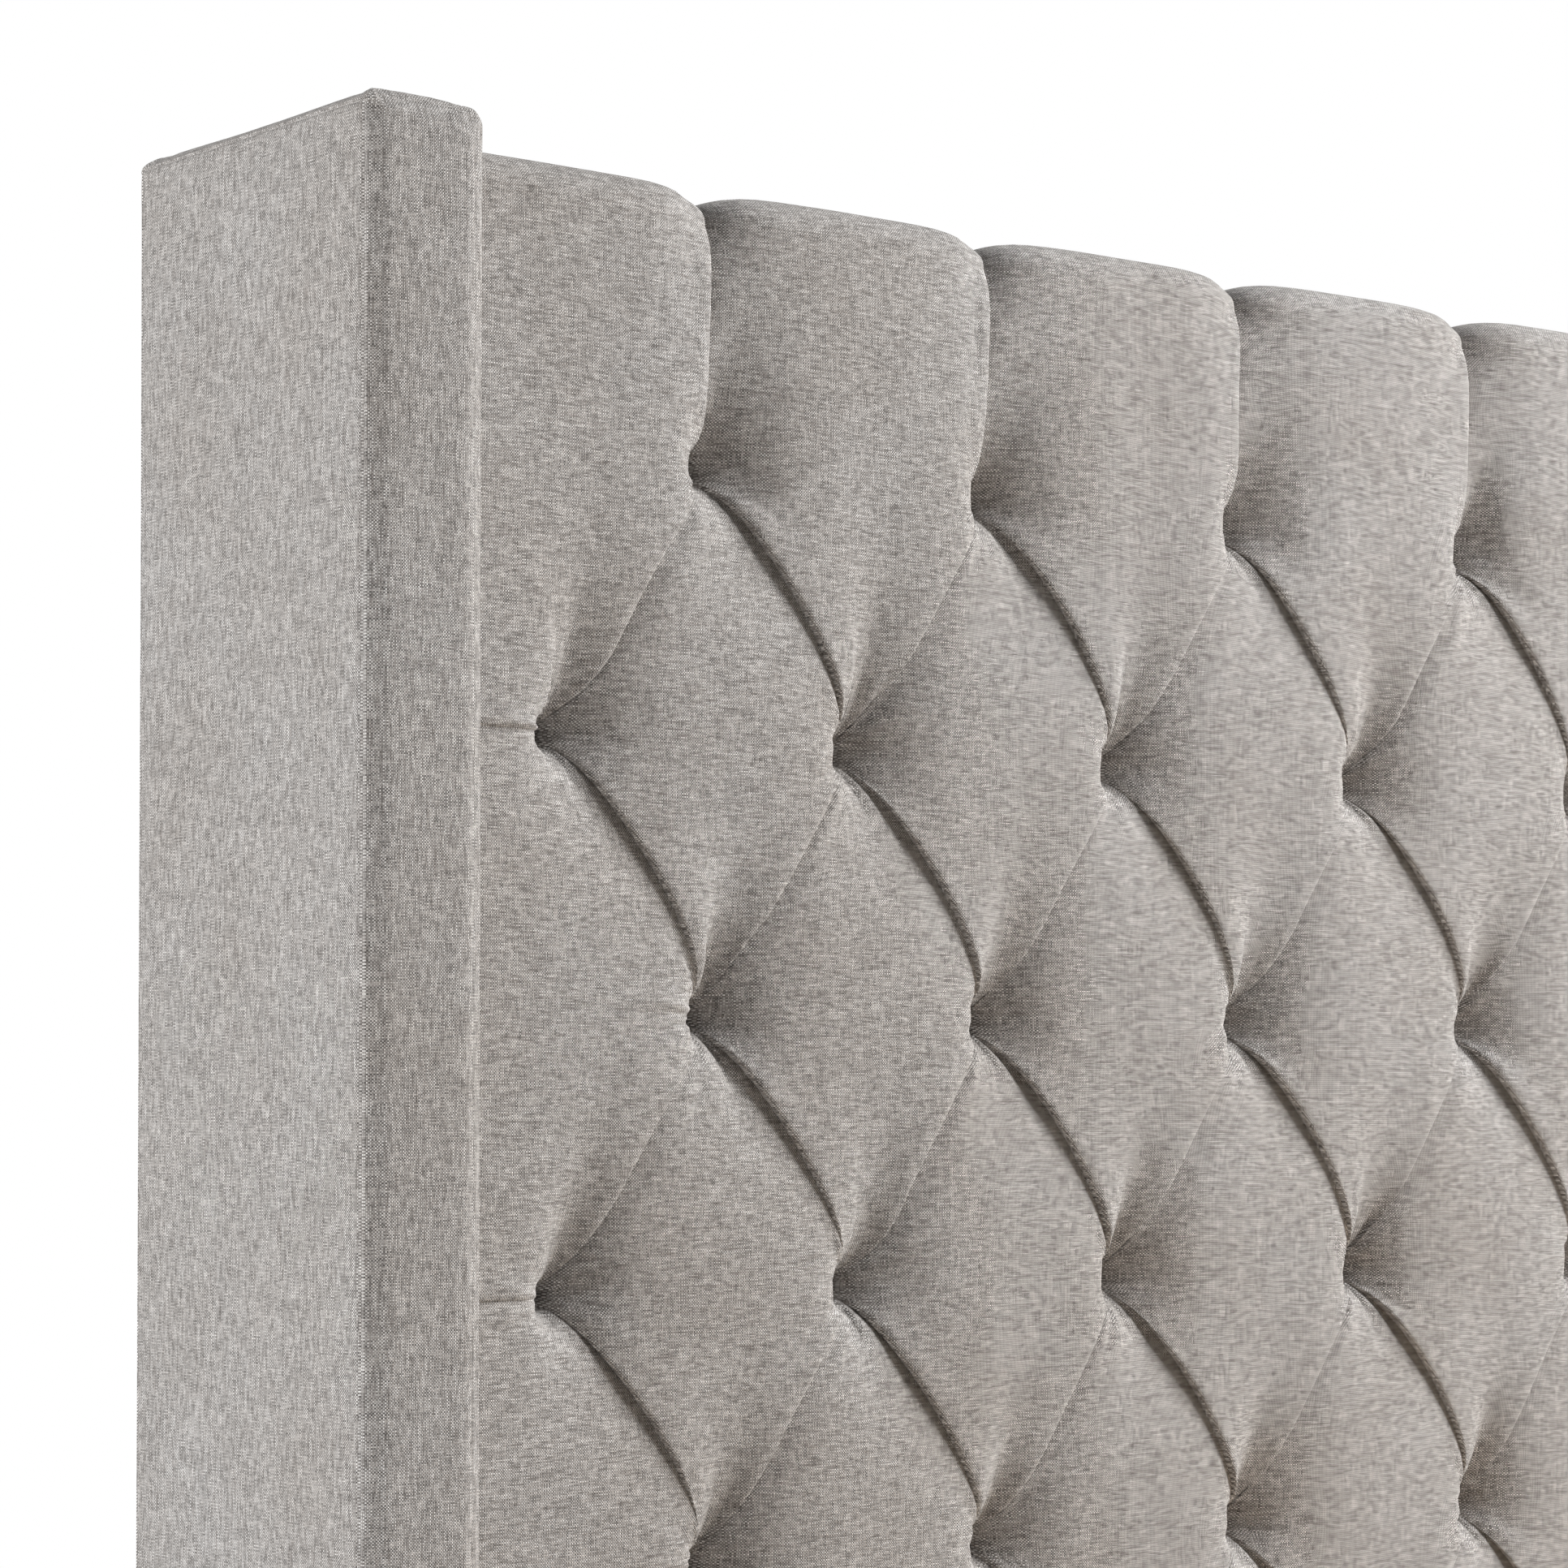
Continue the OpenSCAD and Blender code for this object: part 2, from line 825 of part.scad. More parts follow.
module foot_pad_1() { foot_pad(centre_leg_ys[0]); }
module foot_stud_1() { foot_stud(centre_leg_ys[0]); }
module foot_pad_2() { foot_pad(centre_leg_ys[1]); }
module foot_stud_2() { foot_stud(centre_leg_ys[1]); }

headboard_stiles();
headboard_top_rail();
headboard_middle_rail();
headboard_bottom_rail();
headboard_lower_rail();
headboard_studs();
frame_screws();
tuft_board();
headboard_foam();
headboard_cover();
tuft_buttons();
tuft_ties();
tie_washers();
back_cover();
wing_posts();  // right_wing_posts
wing_rungs();  // right_wing_rungs
wing_boards();  // right_wing_boards
wing_foam();  // right_wing_foam
wing_cover();  // right_wing_cover
mirror([1, 0, 0]) wing_posts();  // left_wing_posts
mirror([1, 0, 0]) wing_rungs();  // left_wing_rungs
mirror([1, 0, 0]) wing_boards();  // left_wing_boards
mirror([1, 0, 0]) wing_foam();  // left_wing_foam
mirror([1, 0, 0]) wing_cover();  // left_wing_cover
wing_rail_blocks();
wing_bolts();
wing_bolt_washers();
wing_t_nuts();
floor_glides();
rail_core();  // right_rail_core
rail_foam();  // right_rail_foam
rail_cover();  // right_rail_cover
ledger();  // right_ledger
mirror([1, 0, 0]) rail_core();  // left_rail_core
mirror([1, 0, 0]) rail_foam();  // left_rail_foam
mirror([1, 0, 0]) rail_cover();  // left_rail_cover
mirror([1, 0, 0]) ledger();  // left_ledger
ledger_screws();
rail_hook_plates();
rail_slot_plates();
rail_plate_screws();
footboard_core();
footboard_foam();
footboard_cover();
footboard_legs();
leg_bolts();
slats();
slat_tapes();
slat_screws();
centre_beam();
beam_brackets();
bracket_screws();
centre_legs();
leg_inserts();
foot_pad_1();
foot_stud_1();
foot_pad_2();
foot_stud_2();
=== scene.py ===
"""Looks for the wingback bed: upholstery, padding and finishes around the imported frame."""
import json
import math
from dataclasses import dataclass

import bpy
import numpy as np
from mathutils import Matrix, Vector

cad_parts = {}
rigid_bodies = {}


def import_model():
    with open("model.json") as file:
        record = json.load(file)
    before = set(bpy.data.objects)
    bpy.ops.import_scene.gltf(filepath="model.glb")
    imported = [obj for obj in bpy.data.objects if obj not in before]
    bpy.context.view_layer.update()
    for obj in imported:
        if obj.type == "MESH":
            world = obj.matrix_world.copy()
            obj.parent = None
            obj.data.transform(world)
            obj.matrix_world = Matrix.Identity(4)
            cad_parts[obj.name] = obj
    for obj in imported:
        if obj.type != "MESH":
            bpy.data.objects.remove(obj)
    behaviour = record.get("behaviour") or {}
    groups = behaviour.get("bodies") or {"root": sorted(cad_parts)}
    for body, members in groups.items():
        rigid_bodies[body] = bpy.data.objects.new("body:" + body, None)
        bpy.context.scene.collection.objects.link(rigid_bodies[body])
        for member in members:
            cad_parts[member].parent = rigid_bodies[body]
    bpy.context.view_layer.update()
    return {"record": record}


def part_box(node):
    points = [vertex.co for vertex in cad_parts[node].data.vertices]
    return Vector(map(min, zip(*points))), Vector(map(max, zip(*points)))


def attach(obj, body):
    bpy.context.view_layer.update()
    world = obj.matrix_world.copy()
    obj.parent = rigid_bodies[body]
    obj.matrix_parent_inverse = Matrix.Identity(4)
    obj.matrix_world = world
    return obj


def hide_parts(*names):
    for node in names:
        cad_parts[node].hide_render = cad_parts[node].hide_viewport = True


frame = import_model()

MM = 0.001

# The tufting's grid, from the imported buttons: rows of seven and eight by turns
BUTTON_DIA = 22 * MM
TUFT_COLS = 8
TUFT_ROWS = 7
buttons_low, buttons_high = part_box("tuft_buttons")
TUFT_W = (buttons_high.x - buttons_low.x - BUTTON_DIA) / (TUFT_COLS - 1)
TUFT_H = (buttons_high.z - buttons_low.z - BUTTON_DIA) / (TUFT_ROWS - 1)
FIRST_ROW_Z = buttons_high.z - BUTTON_DIA / 2
BUTTON_Y = buttons_low.y + 3 * MM

# The headboard's cover
panel_low, panel_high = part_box("headboard_cover")
board_low, board_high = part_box("tuft_board")
PANEL_X = panel_high.x
CREST = BUTTON_Y - panel_low.y
CLOTH_T = 1.2 * MM


def smooth_step(t):
    t = np.clip(t, 0, 1)
    return t * t * (3 - 2 * t)


def value_noise(x, z, seed):
    """Smooth noise from -1 to 1 over a grid one unit apart."""
    rng = np.random.default_rng(seed)
    table = rng.uniform(-1, 1, (64, 64))
    xi = np.floor(x).astype(int)
    zi = np.floor(z).astype(int)
    fx = smooth_step(x - xi)
    fz = smooth_step(z - zi)
    a = table[xi % 64, zi % 64]
    b = table[(xi + 1) % 64, zi % 64]
    c = table[xi % 64, (zi + 1) % 64]
    d = table[(xi + 1) % 64, (zi + 1) % 64]
    return (a * (1 - fx) + b * fx) * (1 - fz) + (c * (1 - fx) + d * fx) * fz


# Materials

WHITE = (1.0, 1.0, 1.0)


def new_material(name):
    """A material with nothing but a principled shader, and the short calls for wiring it up."""
    material = bpy.data.materials.new(name)
    material.use_nodes = True
    return material, Nodes(material.node_tree)


class Nodes:
    """Short calls for building a material's node tree."""

    def __init__(self, tree):
        self.tree = tree
        tree.nodes.clear()
        self.shader = self.add("ShaderNodeBsdfPrincipled")
        self.add("ShaderNodeOutputMaterial", {"Surface": self.shader.outputs["BSDF"]})

    def add(self, kind, inputs=None, **settings):
        """A new node, with its settings and inputs."""
        node = self.tree.nodes.new(kind)
        for setting, value in settings.items():
            setattr(node, setting, value)
        self.feed(node, inputs or {})
        return node

    def feed(self, node, inputs):
        """Gives each input its value, or links it to another node's output."""
        for socket, value in inputs.items():
            if isinstance(value, bpy.types.NodeSocket):
                self.tree.links.new(value, node.inputs[socket])
            else:
                node.inputs[socket].default_value = value

    def math(self, operation, a, b=0.0):
        return self.add("ShaderNodeMath", {0: a, 1: b}, operation=operation).outputs[0]

    def object_coords(self):
        """Object coordinates, which are metres in the shared frame."""
        return self.add("ShaderNodeTexCoord").outputs["Object"]

    def weighted(self, first, first_share, second, second_share):
        scaled = self.math("MULTIPLY", first, first_share)
        return self.math("ADD", scaled, self.math("MULTIPLY", second, second_share))

    def wave(self, value, length):
        """A sine wave of the given length."""
        return self.math("SINE", self.math("MULTIPLY", value, 2 * math.pi / length))

    def scaled(self, vector, scale):
        return self.add("ShaderNodeVectorMath", {0: vector, 1: scale}, operation="MULTIPLY").outputs[0]

    def noise(self, vector, scale, detail=2.0):
        inputs = {"Vector": vector, "Scale": scale, "Detail": detail}
        return self.add("ShaderNodeTexNoise", inputs).outputs["Fac"]

    def along_thread(self, over, along, pitch):
        """A tone for each thread of the cloth, drifting along the thread and unlike its neighbour's."""
        drift = 0.11 / pitch
        apart = 5.37
        number = self.math("FLOOR", self.math("MULTIPLY", over, 1 / pitch))
        place = self.add("ShaderNodeCombineXYZ", {
            0: self.math("MULTIPLY", along, drift),
            1: self.math("MULTIPLY", number, apart),
        })
        return self.noise(place.outputs[0], 1.0)

    def ramp(self, value, stops):
        node = self.add("ShaderNodeValToRGB", {"Fac": value})
        elements = node.color_ramp.elements
        while len(elements) < len(stops):
            elements.new(0.5)
        for element, (at, colour) in zip(elements, stops):
            element.position = at
            element.color = (*colour, 1)
        return node.outputs["Color"]

    def mix(self, factor, first, second, blend="MIX"):
        """Two colours mixed. The second may be a plain colour instead of an output."""
        if isinstance(second, tuple):
            second = (*second, 1)
        inputs = {0: factor, 6: first, 7: second}
        return self.add("ShaderNodeMix", inputs, data_type="RGBA", blend_type=blend).outputs[2]

    def tinted(self, colour, *tints):
        """The colour multiplied by each of the tints."""
        for tint in tints:
            colour = self.mix(1.0, colour, tint, "MULTIPLY")
        return colour

    def bump(self, height, distance, strength=1.0):
        inputs = {"Height": height, "Distance": distance, "Strength": strength}
        return self.add("ShaderNodeBump", inputs).outputs["Normal"]

    def finish(self, colour, rough_from, rough_low, rough_high, height, depth):
        """Wires up colour, a roughness that varies, and bump from a height of the given depth."""
        limits = {1: 0.3, 2: 0.7, 3: rough_low, 4: rough_high}
        rough = self.add("ShaderNodeMapRange", {0: rough_from, **limits}).outputs[0]
        self.feed(self.shader, {
            "Base Color": colour, "Roughness": rough, "Normal": self.bump(height, depth),
        })


WARP_COLOURS = [(0.11, 0.102, 0.096), (0.26, 0.244, 0.232), (0.50, 0.476, 0.455)]
WEFT_COLOURS = [(0.31, 0.298, 0.287), (0.62, 0.606, 0.592), (0.92, 0.91, 0.897)]
THREAD_PITCH = 0.8 * MM


def heathered(tone, colours):
    """A ramp's stops for a thread that drifts from its darkest fibres to its palest."""
    return [(at, tuple(tone * c for c in colour)) for at, colour in zip((0.34, 0.5, 0.66), colours)]


def linen_material(name, tone=1.05, on_cloth=True):
    """Plain weave of a darker warp and a lighter weft, both heathered, with thin slubs along the weft.
    It follows the piece's own cloth attribute, or else the x and z of the frame."""
    material, n = new_material(name)
    if on_cloth:
        cloth = n.add("ShaderNodeAttribute", attribute_name="cloth").outputs["Vector"]
    else:
        place = n.add("ShaderNodeSeparateXYZ", {0: n.object_coords()}).outputs
        cloth = n.add("ShaderNodeCombineXYZ", {0: place[0], 1: place[2]}).outputs[0]
    x, y, _ = n.add("ShaderNodeSeparateXYZ", {0: cloth}).outputs
    checker = n.math("MULTIPLY", n.wave(x, 2 * THREAD_PITCH), n.wave(y, 2 * THREAD_PITCH))
    crowns = n.math("ABSOLUTE", checker)
    weft_on_top = n.math("GREATER_THAN", checker, 0.0)
    warp_tone = n.along_thread(x, y, THREAD_PITCH)
    weft_tone = n.along_thread(y, x, THREAD_PITCH)
    slub = n.noise(n.scaled(cloth, (0.04 / THREAD_PITCH, 0.5 / THREAD_PITCH, 1)), 1.0, 2.0)
    warp = n.ramp(warp_tone, heathered(tone, WARP_COLOURS))
    weft = n.ramp(weft_tone, heathered(tone, WEFT_COLOURS))
    # The gaps between the threads' crowns are painted darker: painted shade between the threads.
    gaps = n.ramp(crowns, [(0.0, (0.45, 0.43, 0.42)), (0.4, WHITE)])
    slubs = n.ramp(slub, [(0.3, (0.82, 0.80, 0.79)), (0.5, WHITE), (0.7, (1.1, 1.1, 1.1))])
    tint = n.ramp(n.noise(cloth, 9.0, 2.0), [(0.3, (0.97, 0.95, 0.93)), (0.7, (1.03, 1.03, 1.03))])
    height = n.weighted(crowns, 1.0, weft_tone, 0.8)
    n.feed(n.shader, {
        "Base Color": n.tinted(n.mix(weft_on_top, warp, weft), gaps, slubs, tint),
        "Normal": n.bump(height, 0.3 * MM, 0.7),
        "Roughness": 0.9,
        "Specular IOR Level": 0.2,
        "Sheen Weight": 0.2,
        "Sheen Roughness": 0.5,
    })
    return material


def wood_material(name, axis, light, dark, rough, grain=1.0):
    """Sawn wood with its grain along one axis: growth rings, fine fibres and a few darker knots."""
    material, n = new_material(name)
    across = [14 * grain] * 3
    across[axis] = 0.9 * grain
    fine = [420.0] * 3
    fine[axis] = 9.0
    p = n.object_coords()
    wobble = n.noise(n.scaled(p, tuple(across)), 1.0, 3.0)
    rings = n.math("SINE", n.math("MULTIPLY", wobble, 46.0))
    fibres = n.noise(n.scaled(p, tuple(fine)), 1.0, 2.0)
    mixed = n.weighted(rings, 0.22, fibres, 0.9)
    middle = tuple((a + b) / 2 for a, b in zip(light, dark))
    colour = n.ramp(mixed, [(0.2, dark), (0.45, middle), (0.7, light)])
    knots = n.add("ShaderNodeTexVoronoi", {"Vector": n.scaled(p, (3.1, 2.7, 3.3)), "Scale": 1.0})
    knot = n.ramp(knots.outputs["Distance"], [(0.02, (0.45, 0.33, 0.24)), (0.06, WHITE)])
    n.finish(n.tinted(colour, knot), fibres, rough - 0.1, rough + 0.1, fibres, 0.15 * MM)
    return material


PLY_PAIR = 3 * MM


def plywood_material(name):
    """Rotary-cut plywood: a broad flame figure on the face and the plies striped on its edges."""
    material, n = new_material(name)
    p = n.object_coords()
    cut = n.noise(n.scaled(p, (7.0, 7.0, 1.1)), 1.0, 3.0)
    figure = n.math("SINE", n.math("MULTIPLY", cut, 30.0))
    fibres = n.noise(n.scaled(p, (500.0, 500.0, 14.0)), 1.0, 2.0)
    mixed = n.weighted(figure, 0.12, fibres, 1.0)
    colour = n.ramp(mixed, [
        (0.25, (0.47, 0.32, 0.18)),
        (0.5, (0.66, 0.48, 0.30)),
        (0.75, (0.76, 0.60, 0.40)),
    ])
    depth = n.add("ShaderNodeSeparateXYZ", {0: p}).outputs[1]
    shade = n.ramp(n.wave(depth, PLY_PAIR), [(0.0, (0.78, 0.72, 0.66)), (0.4, WHITE)])
    n.finish(n.tinted(colour, shade), fibres, 0.6, 0.8, fibres, 0.1 * MM)
    return material


def hardboard_material(name):
    """Pressed fibre: short dark and light fibres lying every way."""
    material, n = new_material(name)
    p = n.object_coords()
    fibres = n.noise(p, 900.0, 4.0)
    cloudy = n.noise(p, 60.0, 3.0)
    mixed = n.weighted(fibres, 0.7, cloudy, 0.3)
    colour = n.ramp(mixed, [
        (0.3, (0.14, 0.075, 0.035)),
        (0.5, (0.27, 0.155, 0.08)),
        (0.7, (0.40, 0.26, 0.15)),
    ])
    n.finish(colour, fibres, 0.45, 0.7, fibres, 0.1 * MM)
    return material


def foam_material(name):
    """Open-cell foam: fine pores, painted darker as shade in their hollows, over soft uneven yellowing."""
    material, n = new_material(name)
    p = n.object_coords()
    cells = n.add("ShaderNodeTexVoronoi", {"Vector": p, "Scale": 700.0}).outputs["Distance"]
    cloudy = n.noise(p, 12.0, 3.0)
    colour = n.ramp(cloudy, [(0.3, (0.80, 0.70, 0.44)), (0.7, (0.88, 0.83, 0.62))])
    # Painted shade: each pore is painted darker where shade falls in its hollow.
    pores = n.ramp(cells, [(0.0, (0.70, 0.66, 0.58)), (0.4, WHITE)])
    n.finish(n.tinted(colour, pores), cloudy, 0.9, 1.0, cells, 0.6 * MM)
    n.feed(n.shader, {"Specular IOR Level": 0.1})
    return material


def woven_material(name, pitch, light, dark, sides=(0, 2)):
    """Plain coarse weave across two axes, for tapes, ties and the dust cloth."""
    material, n = new_material(name)
    parts = n.add("ShaderNodeSeparateXYZ", {0: n.object_coords()}).outputs
    over, under = (n.wave(parts[k], 2 * pitch) for k in sides)
    crowns = n.math("ABSOLUTE", n.math("MULTIPLY", over, under))
    fuzz = n.noise(n.object_coords(), 0.35 / pitch, 3.0)
    # The weave is painted darker between the crowns: painted shade in the gaps between threads.
    mixed = n.weighted(crowns, 0.45, fuzz, 0.6)
    colour = n.ramp(mixed, [(0.2, dark), (0.65, light)])
    n.finish(colour, fuzz, 0.8, 0.95, crowns, 0.25 * MM)
    return material


def zinc_material(name):
    """Bright zinc plate: soft spangle and a little dullness."""
    material, n = new_material(name)
    p = n.object_coords()
    spangle = n.noise(p, 260.0, 4.0)
    dull = n.noise(p, 30.0, 3.0)
    colour = n.ramp(dull, [(0.3, (0.50, 0.50, 0.49)), (0.7, (0.68, 0.68, 0.67))])
    n.feed(n.shader, {"Metallic": 1.0})
    n.finish(colour, spangle, 0.25, 0.5, spangle, 0.03 * MM)
    return material


def painted_steel_material(name):
    """Black powder coat: a fine orange-peel texture, worn a little paler along edges."""
    material, n = new_material(name)
    p = n.object_coords()
    peel = n.noise(p, 1500.0, 2.0)
    worn = n.noise(p, 45.0, 4.0)
    edge = n.add("ShaderNodeNewGeometry").outputs["Pointiness"]
    wear = n.math("MULTIPLY", n.math("GREATER_THAN", edge, 0.53), n.math("GREATER_THAN", worn, 0.52))
    coat = n.ramp(worn, [(0.3, (0.018, 0.018, 0.020)), (0.7, (0.035, 0.035, 0.037))])
    colour = n.mix(wear, coat, (0.13, 0.13, 0.13))
    n.finish(colour, worn, 0.38, 0.55, peel, 0.06 * MM)
    return material


def plastic_material(name):
    """Moulded black plastic: a fine spark texture, dusty and scuffed in places."""
    material, n = new_material(name)
    p = n.object_coords()
    grain = n.noise(p, 2200.0, 2.0)
    scuff = n.noise(n.scaled(p, (90.0, 90.0, 25.0)), 1.0, 4.0)
    colour = n.ramp(scuff, [(0.4, (0.016, 0.016, 0.018)), (0.75, (0.05, 0.05, 0.052))])
    n.finish(colour, scuff, 0.35, 0.6, grain, 0.04 * MM)
    return material


PINE_LIGHT = (0.78, 0.60, 0.38)
PINE_DARK = (0.56, 0.37, 0.20)
STAIN_LIGHT = (0.085, 0.05, 0.032)
STAIN_DARK = (0.03, 0.018, 0.012)
TAPE_LIGHT = (0.76, 0.73, 0.66)
TAPE_DARK = (0.45, 0.42, 0.36)

linen = linen_material("linen")
# A darker copy of the linen for the buttons: painted shade for the buttons down in their pits.
shaded_button_linen = linen_material("shaded_button_linen", tone=0.8, on_cloth=False)
foam = foam_material("foam")
dust_cloth = woven_material("dust_cloth", 0.9 * MM, (0.045, 0.045, 0.048), (0.016, 0.016, 0.018))
webbing_flat = woven_material("webbing_flat", 0.8 * MM, TAPE_LIGHT, TAPE_DARK, (0, 1))
webbing_upright = woven_material("webbing_upright", 0.8 * MM, TAPE_LIGHT, TAPE_DARK)
zinc = zinc_material("zinc_steel")
pine = [wood_material("pine_" + "xyz"[axis], axis, PINE_LIGHT, PINE_DARK, 0.62) for axis in range(3)]
PLAIN_FINISHES = {
    "plywood": plywood_material("plywood"),
    "hardboard": hardboard_material("hardboard"),
    "stained_wood": wood_material("stained_wood", 2, STAIN_LIGHT, STAIN_DARK, 0.38, 2.0),
    "zinc_steel": zinc,
    "black_steel": painted_steel_material("black_steel"),
    "black_plastic": plastic_material("black_plastic"),
}
GRAIN_UP = {
    "headboard_stiles", "headboard_studs", "left_wing_posts", "right_wing_posts", "wing_rail_blocks",
}
GRAIN_ALONG = {"left_rail_core", "right_rail_core", "left_ledger", "right_ledger", "centre_beam"}


def finish_for(node, slot):
    """The finish of a CAD node, by its material slot and by the way its grain or weave runs."""
    if slot == "pine":
        return pine[2 if node in GRAIN_UP else 1 if node in GRAIN_ALONG else 0]
    if slot == "webbing":
        return webbing_flat if node == "slat_tapes" else webbing_upright
    if slot == "linen":
        return shaded_button_linen
    return PLAIN_FINISHES.get(slot)


for subpart in frame["record"]["subparts"]:
    finish = finish_for(subpart["node"], subpart["material_slot"])
    if finish:
        for material_slot in bpy.data.objects[subpart["node"]].material_slots:
            material_slot.material = finish


# The tufted cover

QUARTER = math.pi / 2
GRID_COLS = 2 * TUFT_COLS
EDGE_ROLL = 18 * MM
FOOT_ROLL = 10 * MM
BACK_ROLL = 5 * MM
FLAP_DROP = 85 * MM
TOP_SAG = 1.5 * MM
END_TUCK = 14 * MM
WRAP_TOP_Z = panel_high.z - EDGE_ROLL
WRAP_LOW_Z = panel_low.z + FOOT_ROLL
TOP_ROW = 1 - (WRAP_TOP_Z - FIRST_ROW_Z) / TUFT_H
LOW_ROW = 1 + (FIRST_ROW_Z - WRAP_LOW_Z) / TUFT_H


def grid_point(i, row):
    """A place on the tufting's grid, with i in half columns from the left wing."""
    x = (i - GRID_COLS / 2) * TUFT_W / 2
    return np.array([np.clip(x, -PANEL_X, PANEL_X), FIRST_ROW_Z - (row - 1) * TUFT_H])


def is_button(i, row):
    return (i + row) % 2 == 1 and 1 <= row <= TUFT_ROWS and 0 < i < GRID_COLS


def bell(s, reach):
    """Rises to 1 at reach and then dies away."""
    s = np.clip(s, 0, None) / reach
    return s * np.exp(1 - s)


HOLLOW_REACH = 30 * MM


@dataclass
class Pleat:
    """A fold from a button to another button or to an edge of the panel.
    The cloth on its upper side laps over the cloth on its lower side."""
    start: np.ndarray
    end: np.ndarray
    depth: float  # of the fold
    reach: float  # how far its lower side takes to rise again
    lap: float  # how far its upper side hangs over
    hollow: float = 0.0  # depth of the broad hollow that the fold lies in
    bow: float = 0.0  # how far its middle strays from a straight line
    lip: float = 1.2 * MM  # how tightly the upper side curls over
    open_end: bool = False  # it stays deep up to its end, at the panel's edge

    def __post_init__(self):
        across = self.end - self.start
        self.length = np.linalg.norm(across)
        self.along = across / self.length
        self.up = np.array([-self.along[1], self.along[0]])
        if self.up[1] < -1e-6 or (abs(self.up[1]) < 1e-6 and self.up[0] > 0):
            self.up = -self.up

    def place(self, p):
        """Each point's share of the way along, its signed distance from the line, and its distance."""
        rel = p - self.start
        t = rel @ self.along / self.length
        side = rel @ self.up
        past = np.clip(np.maximum(-t, t - 1), 0, None) * self.length
        return np.clip(t, 0, 1), side, np.hypot(side, past)

    def arch(self, t):
        """0 at a button and near 1 along the rest; it stays up at an open end."""
        if self.open_end:
            return np.sin(t * math.pi / 2) ** 0.5
        return np.sin(t * math.pi) ** 0.5

    def early(self, t):
        """A closed fold is fullest a little way from its start."""
        if self.open_end:
            return np.ones(len(t))
        return 0.5 + 1.5 * bell(t, 0.24) ** 2

    def sink(self, t, side, away):
        """How far the cloth lies under the crest: a broad hollow, and the fold itself."""
        early = self.early(t)
        hollow = self.hollow * np.exp(-(away / HOLLOW_REACH) ** 1.5)
        depth = self.depth * early
        lower = depth * np.exp(-(away / (self.reach * early)) ** 1.2) + hollow
        upper = (depth + 0.7 * self.hollow) * np.exp(-away / self.lip) + 0.3 * hollow
        share = smooth_step(0.5 + 0.5 * side / np.maximum(away, 1e-9))
        return self.arch(t) * (upper * share + lower * (1 - share))

    def shift(self, t, side, away, lapped):
        """How far the cloth moves in the panel's plane: the lap, and the line's own bow."""
        within = np.abs(side) > away - 1e-9
        lap = -self.lap * self.early(t) * self.arch(t) * within * lapped * bell(side, 2.2 * self.lip)
        bow = self.bow * np.sin(math.pi * t) * np.exp(-(away / HOLLOW_REACH) ** 2)
        return (lap + bow)[:, None] * self.up


def toward(length, angle):
    """A run of the given length, at an angle up from rightward."""
    return length * np.array([math.cos(angle), math.sin(angle)])


def fan_streak(rng, here):
    """A faint crease that rises to the right in the fan of shade over a button."""
    angle = math.radians(rng.uniform(45, 72))
    run = toward(rng.uniform(50, 85) * MM, angle)
    return Pleat(here + 0.1 * run, here + run, depth=rng.uniform(0.8, 2.2) * MM, reach=6 * MM,
                 lap=0.8 * MM, bow=rng.normal(0, 2 * MM))


def falling_pleat(rng, here, lower):
    """The full fold from a button down to the right, which the cloth above it overhangs."""
    return Pleat(here, lower, depth=3.5 * MM, reach=22 * MM, hollow=3 * MM, lap=3 * MM, lip=1.5 * MM,
                 bow=rng.normal(10 * MM, 1.5 * MM))


def hanging_wrinkle(rng, here):
    """A short wrinkle that hangs from a button, close beside the falling pleat."""
    angle = math.radians(rng.uniform(12, 24) - 90)
    run = toward(rng.uniform(40, 75) * MM, angle)
    return Pleat(here + 0.15 * run, here + run, depth=rng.uniform(0.3, 1.6) * MM, reach=2.5 * MM,
                 lap=0.6 * MM)


def rising_pleat(rng, lower, here):
    """The fine line from a button up to the right."""
    return Pleat(lower, here, depth=4 * MM, reach=9 * MM, lap=3 * MM, lip=2 * MM,
                 bow=rng.normal(2 * MM, 1 * MM))


def edge_pleats(rng, here, edge):
    """An upright fold that goes over the panel's edge, and a finer one to its left."""
    fold = Pleat(here, edge, depth=6 * MM, reach=7 * MM, hollow=8 * MM, lap=3.5 * MM,
                 bow=rng.normal(7 * MM, 1.2 * MM), open_end=True)
    aside = np.array([rng.uniform(-16, -9) * MM, 0])
    finer = Pleat(here + 0.3 * (edge - here) + 0.7 * aside, edge + aside, depth=rng.uniform(0.5, 2.6) * MM,
                  reach=4 * MM, lap=1.4 * MM, open_end=True)
    return [fold, finer]


def side_wrinkles(rng, here, edge, inward):
    """The pull of a button beside a wing: out to the wing, and a little way inward."""
    outer = Pleat(here, edge, depth=1 * MM, reach=6 * MM, hollow=2 * MM, lap=1 * MM, open_end=True)
    inner_end = here + np.array([inward * 70 * MM, rng.uniform(-4, 10) * MM])
    inner = Pleat(here, inner_end, depth=rng.uniform(0.8, 1.6) * MM, reach=4 * MM, lap=1 * MM, bow=4 * MM)
    return [outer, inner]


def button_grid():
    """The half column and the row of each button."""
    return [(i, row) for row in range(1, TUFT_ROWS + 1) for i in range(1, GRID_COLS) if is_button(i, row)]


